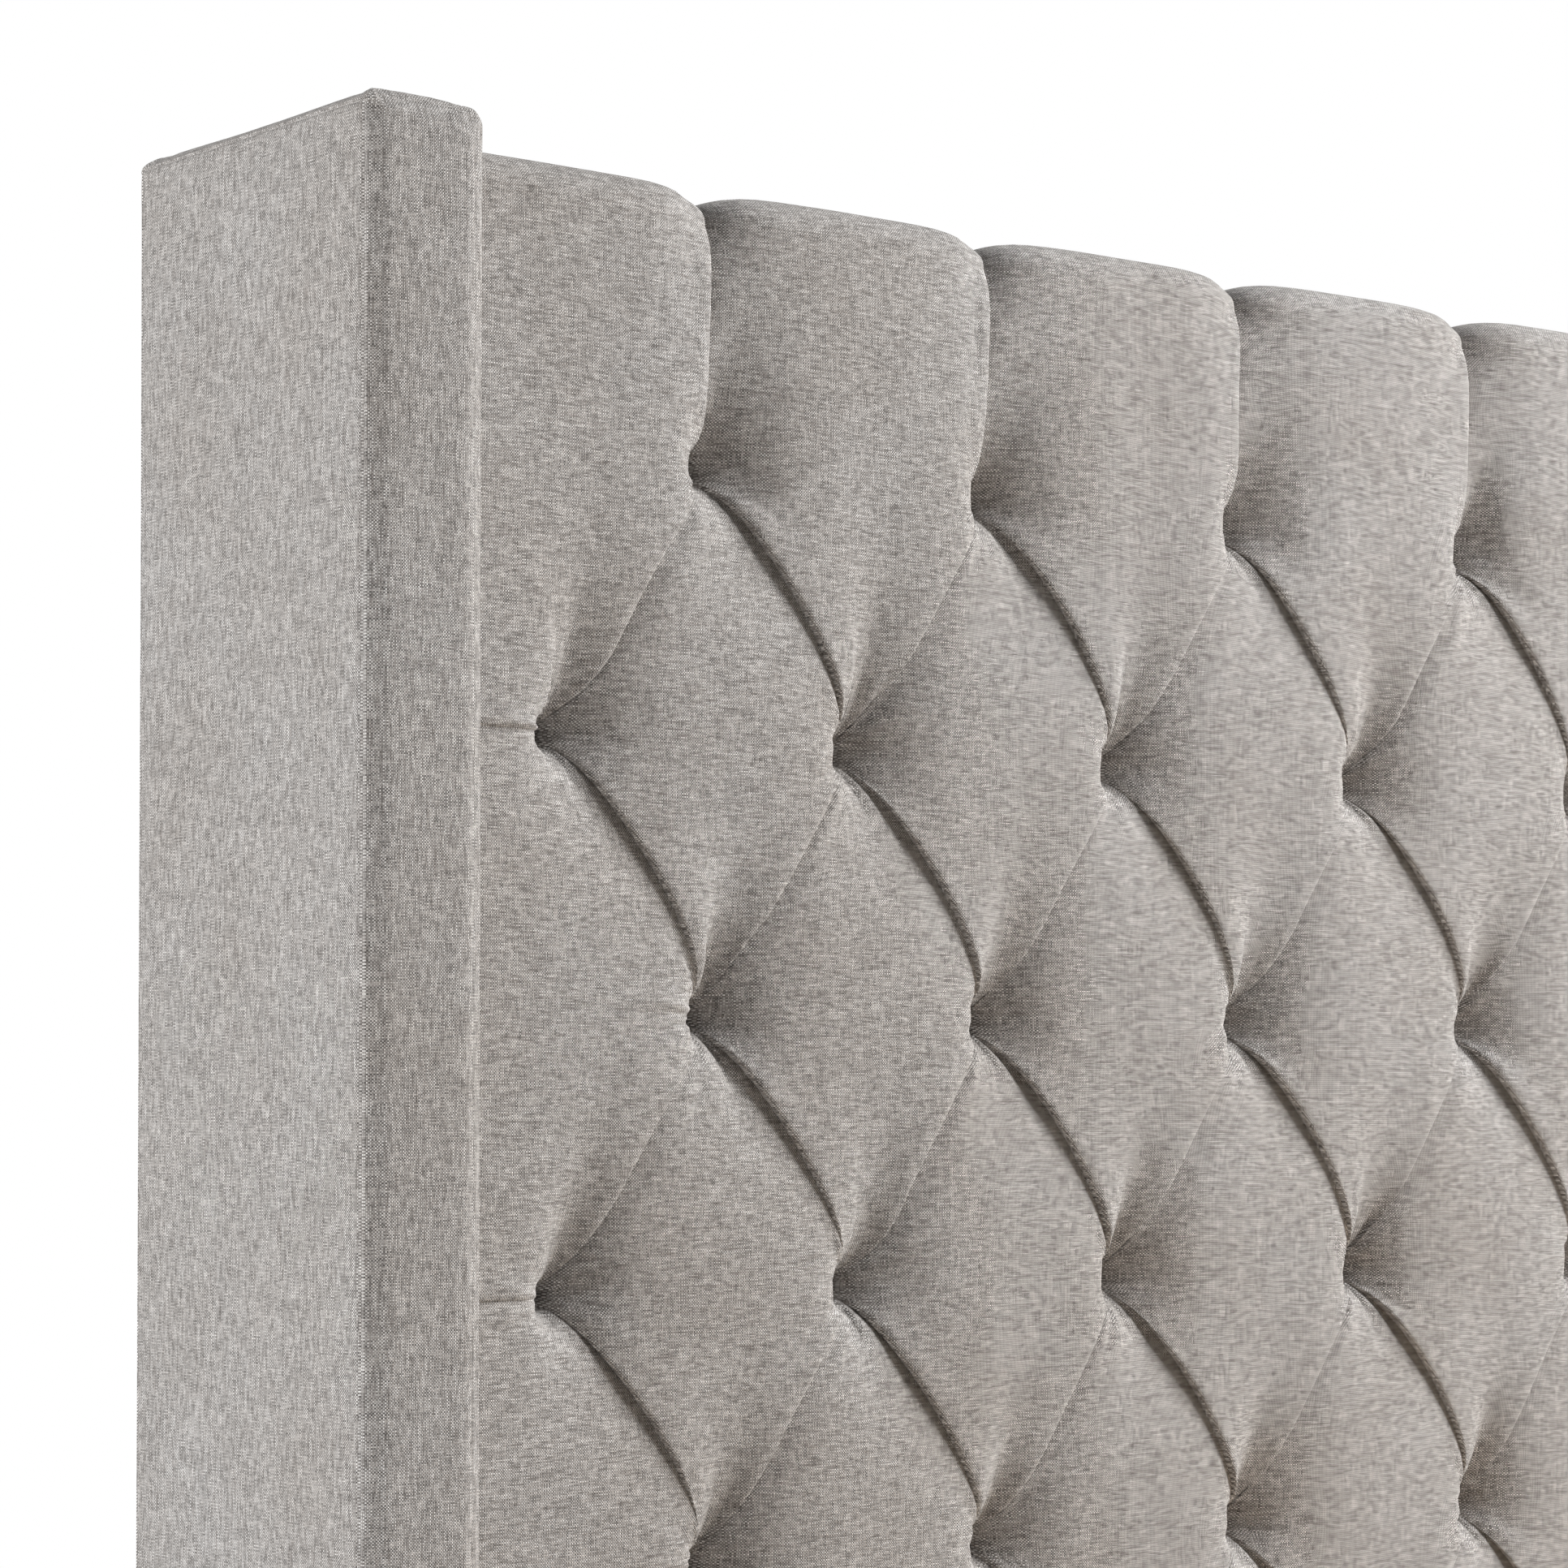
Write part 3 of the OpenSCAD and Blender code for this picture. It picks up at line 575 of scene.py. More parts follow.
def make_pleats():
    rng = np.random.default_rng(11)
    found = []
    for i, row in button_grid():
        here = grid_point(i, row)
        found.append(fan_streak(rng, here))
        if is_button(i + 1, row + 1):
            found.append(falling_pleat(rng, here, grid_point(i + 1, row + 1)))
            found.append(hanging_wrinkle(rng, here))
        if is_button(i - 1, row + 1):
            found.append(rising_pleat(rng, grid_point(i - 1, row + 1), here))
        for last_row, edge_row in ((1, TOP_ROW), (TUFT_ROWS, LOW_ROW)):
            if row == last_row:
                found += edge_pleats(rng, here, grid_point(i, edge_row))
        for last_i, edge_i, inward in ((1, 0, 1), (GRID_COLS - 1, GRID_COLS, -1)):
            if i == last_i:
                found += side_wrinkles(rng, here, grid_point(edge_i, row), inward)
    return found


PIT = 15 * MM
PIT_R = 7 * MM
DISH_REACH = 7 * MM
RIGHTWARD_REACH = 13 * MM
VALLEY_REACH = 24 * MM
VALLEY_ANGLE = math.radians(80)
VALLEY_SPREAD = math.radians(19)
TOP_VALLEY_REACH = 18 * MM
TOP_VALLEY_ANGLE = math.radians(70)
PUCKER_COUNTS = (7, 11, 17, 23)
PLEATS = make_pleats()
BUTTON_PLACES = [grid_point(i, row) for i, row in button_grid()]


def dimples(p):
    """How far the buttons pull the cloth in: a narrow pit in a dish that reaches furthest up to the right,
    with small puckers round it."""
    rng = np.random.default_rng(23)
    sink = np.zeros(len(p))
    for place in BUTTON_PLACES:
        rel = p - place
        r = np.hypot(rel[:, 0], rel[:, 1])
        angle = np.arctan2(rel[:, 1], rel[:, 0])
        rightward = 0.5 + 0.5 * np.cos(angle)
        upper_row = place[1] > FIRST_ROW_Z - TUFT_H / 2
        turn = TOP_VALLEY_ANGLE if upper_row else VALLEY_ANGLE
        valley = np.exp(-((angle - turn) / VALLEY_SPREAD) ** 2)
        valley_reach = TOP_VALLEY_REACH if upper_row else VALLEY_REACH
        reach = DISH_REACH + RIGHTWARD_REACH * rightward + valley_reach * valley
        sink += (CREST - PIT) * np.exp(-np.clip(r - PIT_R, 0, None) / reach)
        sink += PIT * (1 - smooth_step((r - 0.6 * PIT_R) / (0.6 * PIT_R)))
        for puckers in PUCKER_COUNTS:
            size = rng.uniform(0.3, 1.0) * MM
            phase = rng.uniform(0, 2 * math.pi)
            sink += size * np.sin(puckers * angle + phase) * bell(r, BUTTON_DIA) ** 2
    return sink


CUSP_DEPTH = 14 * MM
CUSP_REACH = 15 * MM


def cusps(p):
    """The pull of each upright pleat where it goes over the panel's top edge."""
    sink = np.zeros(len(p))
    for i in range(2, GRID_COLS, 2):
        rel = p - grid_point(i, TOP_ROW)
        sink += CUSP_DEPTH * np.exp(-np.hypot(rel[:, 0], rel[:, 1]) / CUSP_REACH)
    return sink


PLEAT_REACH = 90 * MM
SIDE_TUCK = 7 * MM
SIDE_TUCK_REACH = 4 * MM


def tufted_surface(p, detail=True):
    """The cover's points for places on the flat panel: x, y and z for each.
    Without detail it is the padding's shape, where the pleats don't lap and the cloth isn't uneven."""
    sink = dimples(p) + cusps(p)
    shift = np.zeros((len(p), 2))
    for pleat in PLEATS:
        place = pleat.place(p)
        near = place[2] < PLEAT_REACH
        t, side, away = (a[near] for a in place)
        sink[near] += pleat.sink(t, side, away)
        shift[near] += pleat.shift(t, side, away, detail)
    height = np.maximum(CREST - sink, 0)
    side_gap = PANEL_X - np.abs(p[:, 0])
    height -= SIDE_TUCK * np.exp(-side_gap / SIDE_TUCK_REACH)
    if detail:
        level = smooth_step(height / (30 * MM))
        height += 0.9 * MM * value_noise(p[:, 0] / (35 * MM), p[:, 1] / (130 * MM), 5) * level
        height += 0.3 * MM * value_noise(p[:, 0] / (25 * MM), p[:, 1] / (40 * MM), 6) * level
    x = np.clip(p[:, 0] + shift[:, 0], -PANEL_X, PANEL_X)
    return np.column_stack([x, BUTTON_Y - height, p[:, 1] + shift[:, 1]])


def spaced(n):
    """n + 1 places from 0 to 1, closest together at both ends, where the pleats are."""
    crowding = 9.0
    growth = np.exp(crowding / n * np.arange(n // 2 + 1)) - 1
    first = 0.5 * growth / growth[-1]
    return np.concatenate([first, 1 - first[-2::-1]])


def join_rows(row, after, quads, turned):
    """Fills in the quads between two rows of points, wound the other way if turned."""
    for k in range(len(row) - 1):
        quad = [row[k], row[k + 1], after[k + 1], after[k]]
        quads.append(quad[::-1] if turned else quad)


PLACES_PER_METRE = 20000


class Surface:
    """Quads gathered from several patches, joined where their edges meet to a twentieth of a millimetre."""

    def __init__(self):
        self.points = []
        self.quads = []
        self.known = {}

    def index(self, p):
        key = tuple(round(c * PLACES_PER_METRE) for c in p)
        if key not in self.known:
            self.known[key] = len(self.points)
            self.points.append(p)
        return self.known[key]

    def add_grid(self, rows, turned):
        """A patch from its rows of points, without the quads that shrink to fewer than four corners."""
        ids = [[self.index(p) for p in row] for row in rows]
        quads = []
        for row, after in zip(ids, ids[1:]):
            join_rows(row, after, quads, turned)
        self.quads += [quad for quad in quads if len(set(quad)) == 4]


def panel_patches():
    """The corners of every patch between the pleats, in grid places."""
    patches = []
    for row in range(2, TUFT_ROWS):
        for i in range(2, GRID_COLS - 1):
            if (i + row) % 2 == 0:
                patches.append([(i, row - 1), (i + 1, row), (i, row + 1), (i - 1, row)])
    for side, edge in ((1, 0), (-1, GRID_COLS)):
        for row in range(3, TUFT_ROWS, 2):
            mid = (edge, row)
            tip = (edge + 2 * side, row)
            patches.append([(edge, row - 1), (edge + side, row - 1), tip, mid])
            patches.append([mid, tip, (edge + side, row + 1), (edge, row + 1)])
    for i in range(1, GRID_COLS, 2):
        for rim, row, nxt in ((TOP_ROW, 1, 2), (LOW_ROW, TUFT_ROWS, TUFT_ROWS - 1)):
            for away in (-1, 1):
                if 0 < i + away < GRID_COLS:
                    patches.append([(i + away, rim), (i + away, row), (i, nxt), (i, rim)])
                else:
                    patches.append([(i + away, rim), (i + away, nxt), (i, nxt), (i, rim)])
    return patches


def linked_object(name, points, faces):
    """A plain mesh in the scene."""
    mesh = bpy.data.meshes.new(name)
    mesh.from_pydata([tuple(p) for p in points], [], faces)
    o = bpy.data.objects.new(name, mesh)
    bpy.context.scene.collection.objects.link(o)
    return o


def mesh_object(name, points, faces, material):
    """A smooth-shaded piece of the bed."""
    o = linked_object(name, points, faces)
    o.data.validate()
    o.data.update()
    o.data.polygons.foreach_set("use_smooth", [True] * len(o.data.polygons))
    o.data.materials.append(material)
    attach(o, "bed")
    return o


def grid_quads(rows, columns, turned=False):
    """The quads between points that run row by row."""
    ids = np.arange(rows * columns).reshape(rows, columns).tolist()
    quads = []
    for row, after in zip(ids, ids[1:]):
        join_rows(row, after, quads, turned)
    return quads


def tufting_mesh(n):
    """The flat panel cut along its pleats, with n steps across each patch."""
    surface = Surface()
    steps = spaced(n)
    for corners in panel_patches():
        a, b, c, d = (grid_point(*k) for k in corners)
        turn = (b[0] - a[0]) * (d[1] - a[1]) - (b[1] - a[1]) * (d[0] - a[0])
        rows = [[(1 - u) * (1 - v) * a + u * (1 - v) * b + u * v * c + (1 - u) * v * d for v in steps]
                for u in steps]
        surface.add_grid(rows, turned=turn >= 0)
    return np.array(surface.points), surface.quads


NOTCH = 8 * MM
NOTCH_REACH = 14 * MM


def notch_depth(x):
    """How far the top edge dips where a pleat goes over it."""
    nearest = np.abs((x / TUFT_W) - np.round(x / TUFT_W)) * TUFT_W
    inner = np.abs(x) < PANEL_X - TUFT_W / 2
    return NOTCH * np.exp(-(nearest / NOTCH_REACH) ** 1.3) * inner


def wrap_edge(flat, points, quads, cloth, edge_z, places, outward):
    """Carries the sheet on from the panel's edge at edge_z through each further place.
    A place takes the front's y and the notch's depth at one point of the edge, and gives the
    cross-section's y, z and run of cloth there. The rows of points come back, each from left to right."""
    on_edge = [k for k in range(len(flat)) if abs(flat[k][1] - edge_z) < 1e-6]
    on_edge.sort(key=lambda k: flat[k][0])
    rows = [on_edge]
    for place in places:
        row = rows[-1]
        new = []
        for k in on_edge:
            y, z, run = place(points[k][1], notch_depth(flat[k][0]))
            new.append(len(points))
            points.append(np.array([points[k][0], y, z]))
            cloth.append((points[k][0], points[k][2] + outward * run, 0.0))
        join_rows(row, new, quads, turned=outward < 0)
        rows.append(new)
    return rows


def turn_down_ends(rows, points, quads, cloth, drop):
    """Tucks the ends of the rows down between the panel and the wings."""
    for end, side in ((0, -1), (-1, 1)):
        edge = [row[end] for row in rows]
        tucked = []
        for k in edge:
            tucked.append(len(points))
            points.append(points[k] - np.array([0, 0, drop]))
            cloth.append((cloth[k][0] + side * drop, cloth[k][1], 0.0))
        join_rows(edge, tucked, quads, turned=side > 0)


# The places of the cross-section, all called alike whether or not they need the front and the notch

def over_top(angle):
    def place(front_y, dip):
        y = front_y + EDGE_ROLL * (1 - math.cos(angle))
        z = WRAP_TOP_Z + (EDGE_ROLL - dip) * math.sin(angle)
        return y, z, EDGE_ROLL * angle
    return place


def along_top(share, end_y):
    def place(front_y, dip):
        run = (end_y - front_y - EDGE_ROLL) * share
        sag = TOP_SAG * math.sin(math.pi * share)
        z = panel_high.z - dip * (1 - share) ** 0.7 - sag
        return front_y + EDGE_ROLL + run, z, EDGE_ROLL * QUARTER + run
    return place


def down_back(angle, drop):
    y = panel_high.y - 1 * MM - BACK_ROLL * (1 - math.sin(angle))
    z = panel_high.z - BACK_ROLL * (1 - math.cos(angle)) - drop
    run = panel_high.y - panel_low.y + BACK_ROLL * angle + drop
    return lambda _front_y, _dip: (y, z, run)


def under_foot(angle):
    def place(front_y, _dip):
        y = front_y + FOOT_ROLL * (1 - math.cos(angle))
        return y, WRAP_LOW_Z - FOOT_ROLL * math.sin(angle), FOOT_ROLL * angle
    return place


def to_board(share):
    def place(front_y, _dip):
        run = (board_high.y - front_y - FOOT_ROLL) * share
        return front_y + FOOT_ROLL + run, panel_low.z, FOOT_ROLL * QUARTER + run
    return place


def write_cloth(o, domain, places):
    """Stores where each point or corner of a piece lies on its flat cloth, in metres."""
    attribute = o.data.attributes.new("cloth", "FLOAT_VECTOR", domain)
    attribute.data.foreach_set("vector", np.array(places, float).ravel())


def make_tufted_cover():
    """The panel's tufted front, wrapped over its top to a flap down the back, and under its foot."""
    flat, quads = tufting_mesh(30)
    points = list(tufted_surface(flat))
    cloth = [(p[0], p[2], 0.0) for p in points]
    back_y = panel_high.y - 6 * MM
    over = [over_top(QUARTER * k / 6) for k in range(1, 7)]
    over += [along_top(share, back_y) for share in (0.12, 0.3, 0.5, 0.75, 1.0)]
    over += [down_back(QUARTER * k / 3, 0) for k in range(1, 4)]
    over += [down_back(QUARTER, FLAP_DROP * share) for share in (0.3, 0.6, 1.0)]
    rows = wrap_edge(flat, points, quads, cloth, WRAP_TOP_Z, over, 1)
    turn_down_ends(rows, points, quads, cloth, END_TUCK)
    under = [under_foot(QUARTER * k / 4) for k in range(1, 5)]
    under += [to_board(share) for share in (0.3, 1.0)]
    wrap_edge(flat, points, quads, cloth, WRAP_LOW_Z, under, -1)
    o = mesh_object("headboard_tufted_cover", points, quads, linen)
    write_cloth(o, "POINT", cloth)
    return o


def stands_for(o, node):
    """Hides the CAD node that a padded piece stands for."""
    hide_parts(node)


def thicken(o, thickness):
    """Gives a sheet its thickness, inward from the side that shows."""
    solidify = o.modifiers.new("thickness", "SOLIDIFY")
    solidify.thickness = thickness
    solidify.offset = -1


def closed_shell(points, quads, box_low, box_high):
    """The outer sheet, an inner one lying on the given box, and the rim between them."""
    inner = np.clip(points, box_low, box_high)
    count = len(points)
    faces = quads + [[k + count for k in q[::-1]] for q in quads]
    sides = [(a, b) for q in quads for a, b in zip(q, q[1:] + q[:1])]
    known = set(sides)
    faces += [[b, a, a + count, b + count] for a, b in sides if (b, a) not in known]
    return np.vstack([points, inner]), faces


# How far the padding stays under the cover, short of each wing and below the cover's top
PADDING_UNDER = 6 * MM
PADDING_SHORT = 2 * MM
PADDING_LOW = 4.5 * MM


def make_headboard_padding():
    """The foam under the tufted cover: the same shape, deeper where the cover is drawn in.
    It stays clear of the wings and of the notches in the cover's top edge."""
    foam_low, foam_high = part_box("headboard_foam")
    flat, quads = tufting_mesh(14)
    points = tufted_surface(flat, detail=False)
    drawn_in = points[:, 1] - panel_low.y
    points[:, 1] += PADDING_UNDER + 0.5 * drawn_in
    points[:, 1] = np.minimum(points[:, 1], board_low.y - 2 * MM)
    points = list(points)
    cloth = []
    over = [over_top(QUARTER * k / 3) for k in range(1, 4)]
    over += [along_top(share, foam_high.y) for share in (0.3, 1.0)]
    wrap_edge(flat, points, quads, cloth, WRAP_TOP_Z, over, 1)
    points = np.array(points)
    points[:, 0] *= 1 - PADDING_SHORT / PANEL_X
    points[:, 2] -= PADDING_LOW * smooth_step((points[:, 2] - WRAP_TOP_Z + EDGE_ROLL) / EDGE_ROLL)
    frame_high_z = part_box("headboard_top_rail")[1].z
    solid, faces = closed_shell(points, quads, (-PANEL_X, board_low.y, foam_low.z),
                                (PANEL_X, foam_high.y, frame_high_z))
    return mesh_object("headboard_padding", solid, faces, foam)


stands_for(make_tufted_cover(), "headboard_cover")
stands_for(make_headboard_padding(), "headboard_foam")


# Padded blocks: the wings, the footboard and their foam

def edge_lines(low, high, pitch):
    """Grid lines across a face: close together near both edges, where the seams are."""
    in_mm = [0, 1.2, 2.5, 3.5, 4.5, 5.5, 7, 8, 9, 11, 14, 20, 28]
    near = [d * MM for d in in_mm if d * MM < (high - low) / 2]
    inset = near.pop()
    count = max(2, round((high - low - 2 * inset) / pitch) + 1)
    middle = np.linspace(low + inset, high - inset, count)
    return np.array([low + d for d in near] + list(middle) + [high - d for d in reversed(near)])


def block_faces(lines, open_sides=()):
    """The faces of a block on the given grid lines, joined at the edges.
    open_sides are the (axis, end) that stay open, with end 0 for low and -1 for high."""
    surface = Surface()
    for axis in range(3):
        for end in (0, -1):
            if (axis, end) not in open_sides:
                places = list(lines)
                places[axis] = [lines[axis][end]]
                grid = np.stack(np.meshgrid(*places, indexing="ij"), axis=-1)
                rows = grid.transpose(axis, (axis + 2) % 3, (axis + 1) % 3, 3)[0]
                surface.add_grid(rows, turned=end == 0)
    return np.array(surface.points), surface.quads


def round_block(points, low, high, radius):
    """Rounds the block's edges. radius may differ from point to point."""
    r = np.broadcast_to(np.asarray(radius, float), (len(points),))[:, None]
    core = np.clip(points, low + r, high - r)
    d = points - core
    size = np.linalg.norm(d, axis=1, keepdims=True)
    corner = size > 1e-9
    return np.where(corner, core + d / np.maximum(size, 1e-9) * r, points)


def lay_weave(o, upright=False):
    """Gives each face its place on the cloth by the way that the face looks.
    An upright piece is cut with its weft running up it."""
    mesh = o.data
    facing = np.abs([face.normal for face in mesh.polygons]).argmax(axis=1)
    corner_facing = np.repeat(facing, [face.loop_total for face in mesh.polygons])
    p = np.array([mesh.vertices[corner.vertex_index].co for corner in mesh.loops])
    u = np.where(corner_facing == 0, p[:, 1], p[:, 0])
    v = np.where(corner_facing == 2, p[:, 1], p[:, 2])
    if upright:
        u, v = v, u
    write_cloth(o, "CORNER", np.column_stack([u, v, np.zeros(len(u))]))


PUFF_PRESSURE = 5.0
PUFF_FRAMES = 16


def puffed(points, quads, held, swell):
    """The points after the cloth between its held seams has swelled under pressure, by up to swell."""
    scene = bpy.context.scene
    o = linked_object("puffing", points, quads)
    group = o.vertex_groups.new(name="held")
    group.add([int(k) for k in np.flatnonzero(held)], 1.0, "REPLACE")
    puff = o.modifiers.new("puff", "CLOTH")
    puff.settings.quality = 4
    puff.settings.mass = 0.3
    puff.settings.tension_stiffness = 40
    puff.settings.compression_stiffness = 40
    puff.settings.shear_stiffness = 10
    puff.settings.bending_stiffness = 4
    puff.settings.use_pressure = True
    puff.settings.uniform_pressure_force = PUFF_PRESSURE
    puff.settings.effector_weights.gravity = 0
    puff.settings.vertex_group_mass = "held"
    puff.collision_settings.use_collision = False
    for f in range(1, PUFF_FRAMES + 1):
        scene.frame_set(f)
    shown = o.evaluated_get(bpy.context.evaluated_depsgraph_get())
    move = np.array([v.co for v in shown.data.vertices]) - points
    mesh = o.data
    bpy.data.objects.remove(o)
    bpy.data.meshes.remove(mesh)
    scene.frame_set(1)
    far = np.linalg.norm(move, axis=1, keepdims=True)
    return points + move * np.minimum(1, swell / np.maximum(far, 1e-9))


SEAM_IN = 4.5 * MM
SEAM_DEPTH = 1.8 * MM
SEAM_W = 1.0 * MM
STRIP_IN = 8 * MM
STRIP_DEPTH = 0.4 * MM
STRIP_W = 0.8 * MM
TOP_CROWN = 2 * MM
TURN_UNDER = 6 * MM


def seam_distance(points, low, high, axis):
    """How far each point is from the panel's edges, for a block whose panels face along axis."""
    other = 1 - axis
    gaps = [points[:, other] - low[other], high[other] - points[:, other], high[2] - points[:, 2]]
    return np.minimum.reduce(gaps)


def crease(distance, width):
    """1 on a seam's line and 0 away from it."""
    return np.exp(-(distance / width) ** 2)


def make_sewn_block(name, node, axis, radii, swell, seed):
    """A block's cover: two sewn panels that face along axis, and the strip that joins them.
    radii are the rounding of the low panel's edges and of the high panel's."""
    low, high = (np.array(c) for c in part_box(node))
    other = 1 - axis
    lines = [edge_lines(low[k], high[k], 16 * MM) for k in range(3)]
    flat, quads = block_faces(lines)
    share = (flat[:, axis] - low[axis]) / (high[axis] - low[axis])
    points = round_block(flat, low, high, radii[0] + (radii[1] - radii[0]) * share)

    distance = seam_distance(flat, low, high, axis)
    on_panel = (share < 1e-6) | (share > 1 - 1e-6)
    sewn = (np.abs(distance - SEAM_IN) < SEAM_W / 2) & on_panel
    turned_under = flat[:, 2] < low[2] + TURN_UNDER
    points = puffed(points, quads, sewn | turned_under, swell)

    inward = np.where(share < 0.5, 1, -1)
    points[:, axis] += SEAM_DEPTH * crease(distance - SEAM_IN, SEAM_W) * on_panel * inward
    on_top = flat[:, 2] > high[2] - 1e-6
    points[:, 2] += TOP_CROWN * (1 - (2 * share - 1) ** 2) * on_top
    on_front = flat[:, other] < low[other] + 1e-6
    from_edge = np.minimum(flat[:, axis] - low[axis], high[axis] - flat[:, axis])
    points[:, other] += STRIP_DEPTH * crease(from_edge - STRIP_IN, STRIP_W) * on_front
    uneven = value_noise(flat[:, other] / (70 * MM), flat[:, 2] / (160 * MM), seed)
    uneven *= on_panel * smooth_step(distance / (30 * MM))
    points[:, axis] -= 0.5 * MM * uneven * inward

    underneath = flat[:, 2] < low[2] + 1e-6
    kept = [q for q in quads if not all(underneath[k] for k in q)]
    o = mesh_object(name, points, kept, linen)
    lay_weave(o, upright=high[2] - low[2] > high[0] - low[0])
    thicken(o, CLOTH_T)
    stands_for(o, node)


def make_foam_shell(name, node, cores, open_sides, radius):
    """Foam round the outside of its cores, rounded at its outer edges."""
    low, high = (np.array(c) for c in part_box(node))
    boxes = [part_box(core) for core in cores]
    core_low = np.min([b[0] for b in boxes], axis=0)
    core_high = np.max([b[1] for b in boxes], axis=0)
    lines = [edge_lines(low[k], high[k], 40 * MM) for k in range(3)]
    flat, quads = block_faces(lines, open_sides)
    moved = flat.copy()
    for axis, end in open_sides:
        edge = (low, high)[end][axis]
        stretch = 2 * radius * (1 if end else -1)
        moved[:, axis] = np.where(np.abs(flat[:, axis] - edge) < 1e-6, edge + stretch, moved[:, axis])
    grown_low = np.minimum(low, moved.min(axis=0))
    grown_high = np.maximum(high, moved.max(axis=0))
    outer = np.clip(round_block(moved, grown_low, grown_high, radius), low, high)
    solid, faces = closed_shell(outer, quads, core_low, core_high)
    stands_for(mesh_object(name, solid, faces, foam), node)


def make_wing(side):
    """A wing's cover, rounded more along the panel than along its outer side, and its foam."""
    name = "left" if side < 0 else "right"
    outer_radius = 5 * MM
    inner_radius = 9 * MM
    radii = (outer_radius, inner_radius) if side < 0 else (inner_radius, outer_radius)
    make_sewn_block(name + "_wing_padded_cover", name + "_wing_cover", 0, radii, 1.5 * MM, 31)
    make_foam_shell(name + "_wing_padding", name + "_wing_foam", [name + "_wing_boards"],
                    [(1, -1), (2, 0)], 10 * MM)


def corner_arc(across, z, radius, start):
    """The points inside a quarter turn, clockwise from the start angle."""
    angles = [start - QUARTER * k / 6 for k in range(1, 6)]
    return [(across + radius * math.cos(a), z + radius * math.sin(a)) for a in angles]


def rail_outline(low, high, side):
    """The rail cover's cross-section as x and z, from the inner flap over the top to the underside."""
    r = 9 * MM
    width = high.x - low.x
    flap_z = low.z + 0.635 * (high.z - low.z)
    rise = high.z - low.z - 2 * r
    places = [(0, flap_z), (0, high.z - 50 * MM), (0, high.z - r)]
    places += corner_arc(r, high.z - r, r, 2 * QUARTER)
    places += [(r, high.z), (width / 2, high.z + 1 * MM), (width - r, high.z)]
    places += corner_arc(width - r, high.z - r, r, QUARTER)
    for share in np.linspace(0, 1, 17):
        bulge = 3 * MM * (1 - (2 * share - 1) ** 4)
        places.append((width + bulge, high.z - r - rise * share))
    places += corner_arc(width - r, low.z + r, r, 0)
    places += [(width - r, low.z), (width / 2, low.z), (2 * MM, low.z)]
    inner = low.x if side > 0 else high.x
    return [(inner + side * across, z) for across, z in places]


def make_rail(side):
    """A side rail's cover, drawn in a little at its ends, and its foam."""
    name = "left" if side < 0 else "right"
    low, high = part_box(name + "_rail_cover")
    outline = rail_outline(low, high, side)
    ys = edge_lines(low.y, high.y, 18 * MM)
    points = np.array([(x, y, z) for y in ys for x, z in outline])
    depth = (points[:, 0] - low.x if side > 0 else high.x - points[:, 0]) / (high.x - low.x)
    on_outside = depth > 0.9
    uneven = value_noise(points[:, 1] / (120 * MM), points[:, 2] / (90 * MM), 47 + side)
    from_end = np.minimum(points[:, 1] - low.y, high.y - points[:, 1])
    drawn_in = 2.5 * MM * np.exp(-from_end / (8 * MM))
    points[:, 0] += side * (0.8 * MM * uneven - drawn_in) * on_outside
    quads = grid_quads(len(ys), len(outline), turned=side < 0)
    o = mesh_object(name + "_rail_padded_cover", points, quads, linen)
    lay_weave(o)
    thicken(o, CLOTH_T)
    stands_for(o, name + "_rail_cover")
    inner_side = (0, 0) if side > 0 else (0, -1)
    make_foam_shell(name + "_rail_padding", name + "_rail_foam", [name + "_rail_core"],
                    [inner_side, (2, 0), (1, 0), (1, -1)], 9 * MM)


def make_footboard():
    """The footboard's cover and its foam."""
    make_sewn_block("footboard_padded_cover", "footboard_cover", 1, (8 * MM, 8 * MM), 3.5 * MM, 61)
    make_foam_shell("footboard_padding", "footboard_foam", ["footboard_core"], [(1, -1), (2, 0)], 9 * MM)


# The back's dust cloth and its staples

STAPLE_STEP = 60 * MM
STAPLE_IN = 9 * MM
STAPLE_W = 11 * MM
WIRE_R = 0.6 * MM
WIRE_SIDES = 6
DUST_CLOTH_T = 0.4 * MM


def make_back_cover():
    """The dust cloth across the back of the frame, slack in the middle and pulled at its staples."""
    low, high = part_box("back_cover")
    columns = 91
    rows = 71
    x, z = np.meshgrid(np.linspace(low.x, high.x, columns), np.linspace(low.z, high.z, rows))
    x, z = x.ravel(), z.ravel()
    edge = np.minimum.reduce([x - low.x, high.x - x, z - low.z, high.z - z])
    pull = 0.8 * MM * np.abs(np.sin(2 * math.pi * x / STAPLE_STEP)) * np.exp(-edge / (20 * MM))
    slack = 0.5 * MM * value_noise(x / (300 * MM), z / (200 * MM), 71) * smooth_step(edge / (100 * MM))
    points = np.column_stack([x, low.y + 1 * MM + pull + slack, z])
    o = mesh_object("back_dust_cover", points, grid_quads(rows, columns, turned=True), dust_cloth)
    thicken(o, DUST_CLOTH_T)
    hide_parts("back_cover")


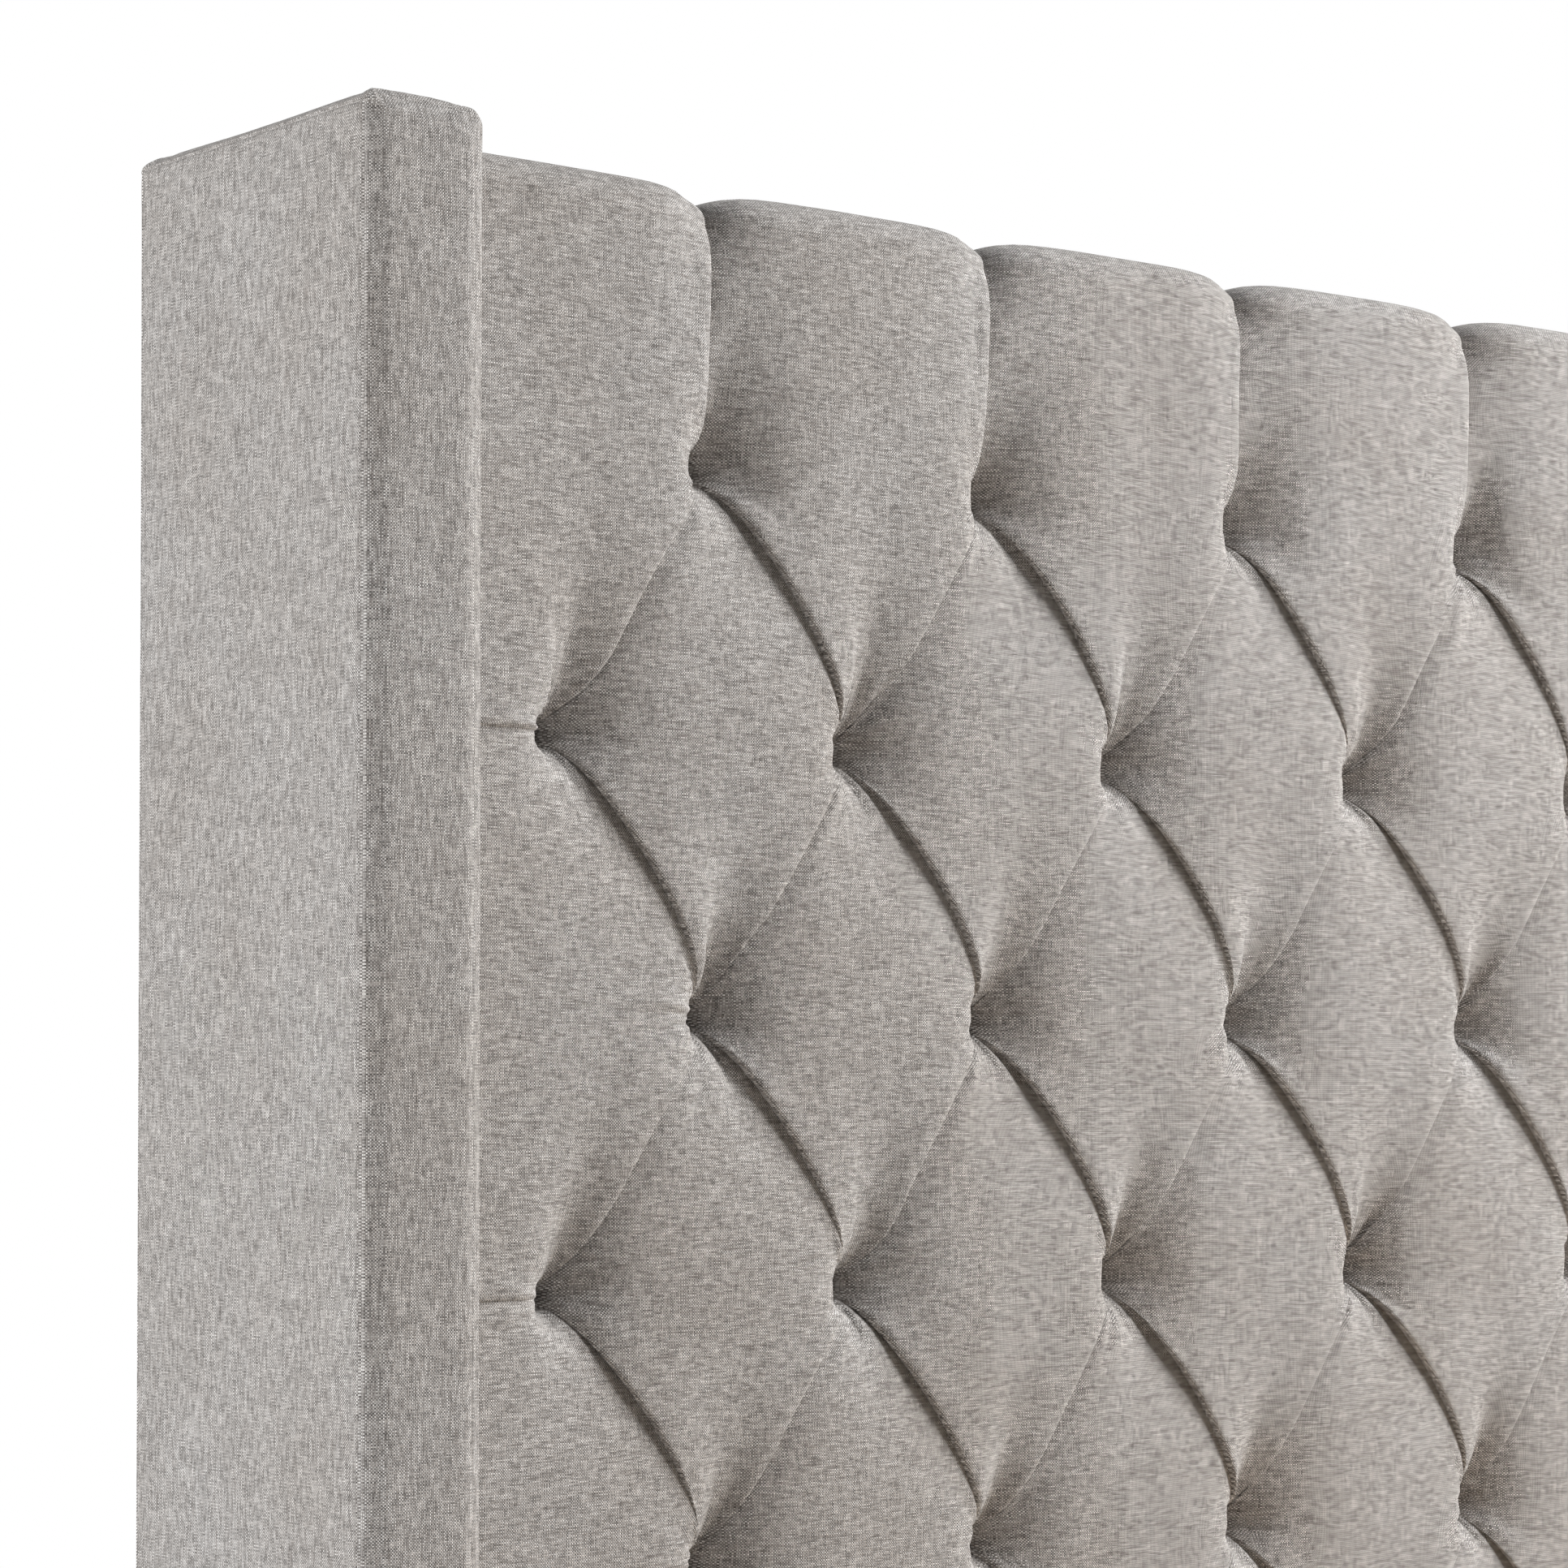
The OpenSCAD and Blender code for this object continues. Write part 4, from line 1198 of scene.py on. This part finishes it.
def add_staple(centre, along, points, quads):
    """One staple's crown and its two bent shoulders, as a swept wire."""
    back = np.array([0.0, 1.0, 0.0])
    across = np.cross(along, back)
    path = [(-0.5, -1.6), (-0.5, -0.4), (-0.44, 0.1), (0.44, 0.1), (0.5, -0.4), (0.5, -1.6)]
    start = len(points)
    for share, lift in path:
        place = centre + along * share * STAPLE_W + back * lift * MM
        for k in range(WIRE_SIDES):
            a = 2 * math.pi * k / WIRE_SIDES
            points.append(place + WIRE_R * (math.cos(a) * across + math.sin(a) * (back + 0.3 * along)))
    for ring in range(len(path) - 1):
        for k in range(WIRE_SIDES):
            a = start + WIRE_SIDES * ring + k
            b = start + WIRE_SIDES * ring + (k + 1) % WIRE_SIDES
            quads.append([a, b, b + WIRE_SIDES, a + WIRE_SIDES])


def make_staples():
    """Staples along all four edges of the dust cloth, each a little askew."""
    low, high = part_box("back_cover")
    left, right = low.x + STAPLE_IN, high.x - STAPLE_IN
    bottom, top = low.z + STAPLE_IN, high.z - STAPLE_IN
    xs = np.linspace(left, right, round((right - left) / STAPLE_STEP) + 1)
    zs = np.linspace(bottom, top, round((top - bottom) / STAPLE_STEP) + 1)
    places = [(x, z, False) for x in xs for z in (bottom, top)]
    places += [(x, z, True) for z in zs[1:-1] for x in (left, right)]
    rng = np.random.default_rng(83)
    points = []
    quads = []
    for x, z, upright in places:
        lean = rng.normal(0, 0.06)
        along = np.array([math.cos(lean), 0.0, math.sin(lean)])
        add_staple(np.array([x, high.y, z]), along[::-1] if upright else along, points, quads)
    o = mesh_object("back_cover_staples", points, quads, zinc)


for side in (-1, 1):
    make_wing(side)
    make_rail(side)
make_footboard()
make_back_cover()
make_staples()


# Camera, lights and floor

FLOOR_REACH = 7.0
FADE_FROM = 2.2
FADE_TO = 5.5


def make_camera():
    """The photo's view, fitted to the edges of the wing and of the panel's top."""
    data = bpy.data.cameras.new("camera")
    data.lens = 99.61
    data.sensor_width = 36
    data.shift_y = 0.12
    cam = bpy.data.objects.new("camera", data)
    cam.location = (-1.996, -0.8177, 1.0116)
    cam.rotation_euler = (math.radians(91.749), 0, math.radians(-38.68))
    bpy.context.scene.collection.objects.link(cam)
    bpy.context.scene.camera = cam


def area_light(name, place, target, size, power):
    """A square soft light that looks at its target."""
    data = bpy.data.lights.new(name, "AREA")
    data.shape = "SQUARE"
    data.size = size
    data.energy = power
    o = bpy.data.objects.new(name, data)
    o.location = place
    o.rotation_euler = (Vector(target) - Vector(place)).to_track_quat("-Z", "Y").to_euler()
    bpy.context.scene.collection.objects.link(o)


def make_studio():
    """A white background that lights the bed only a little, a large key light and a side light."""
    world = bpy.data.worlds.new("studio")
    world.use_nodes = True
    tree = world.node_tree
    light = tree.nodes["Background"]
    white = tree.nodes.new("ShaderNodeBackground")
    for background, strength in ((light, 0.1), (white, 1.0)):
        background.inputs["Color"].default_value = (*WHITE, 1)
        background.inputs["Strength"].default_value = strength
    mix = tree.nodes.new("ShaderNodeMixShader")
    path = tree.nodes.new("ShaderNodeLightPath")
    tree.links.new(path.outputs["Is Camera Ray"], mix.inputs[0])
    tree.links.new(light.outputs[0], mix.inputs[1])
    tree.links.new(white.outputs[0], mix.inputs[2])
    tree.links.new(mix.outputs[0], tree.nodes["World Output"].inputs[0])
    bpy.context.scene.world = world
    area_light("key", (2.7, -0.95, 3.1), (-0.1, 1.0, 1.1), 3.2, 328)
    area_light("side", (-4.5, 1.3, 1.6), (-0.9, 1.1, 1.0), 1.8, 142)


def make_floor():
    """A plain pale floor that fades away into the background."""
    material, n = new_material("floor")
    p = n.object_coords()
    tone = n.ramp(n.noise(p, 1.3, 3.0), [(0.3, (0.80, 0.80, 0.80)), (0.7, (0.84, 0.84, 0.84))])
    n.finish(tone, n.noise(p, 5.0, 3.0), 0.7, 0.9, n.noise(p, 300.0, 2.0), 0.1 * MM)
    away = n.add("ShaderNodeVectorMath", {0: p}, operation="LENGTH").outputs["Value"]
    fade = n.add("ShaderNodeMapRange", {0: away, 1: FADE_FROM, 2: FADE_TO, 3: 1.0, 4: 0.0},
                 interpolation_type="SMOOTHSTEP")
    n.feed(n.shader, {"Alpha": fade.outputs[0]})
    places = np.linspace(-FLOOR_REACH, FLOOR_REACH, 25)
    points = [(x, y, 0.0) for y in places for x in places]
    o = linked_object("floor", points, grid_quads(len(places), len(places)))
    o.data.materials.append(material)


make_camera()
make_studio()
make_floor()
bpy.context.scene.view_settings.view_transform = "Standard"
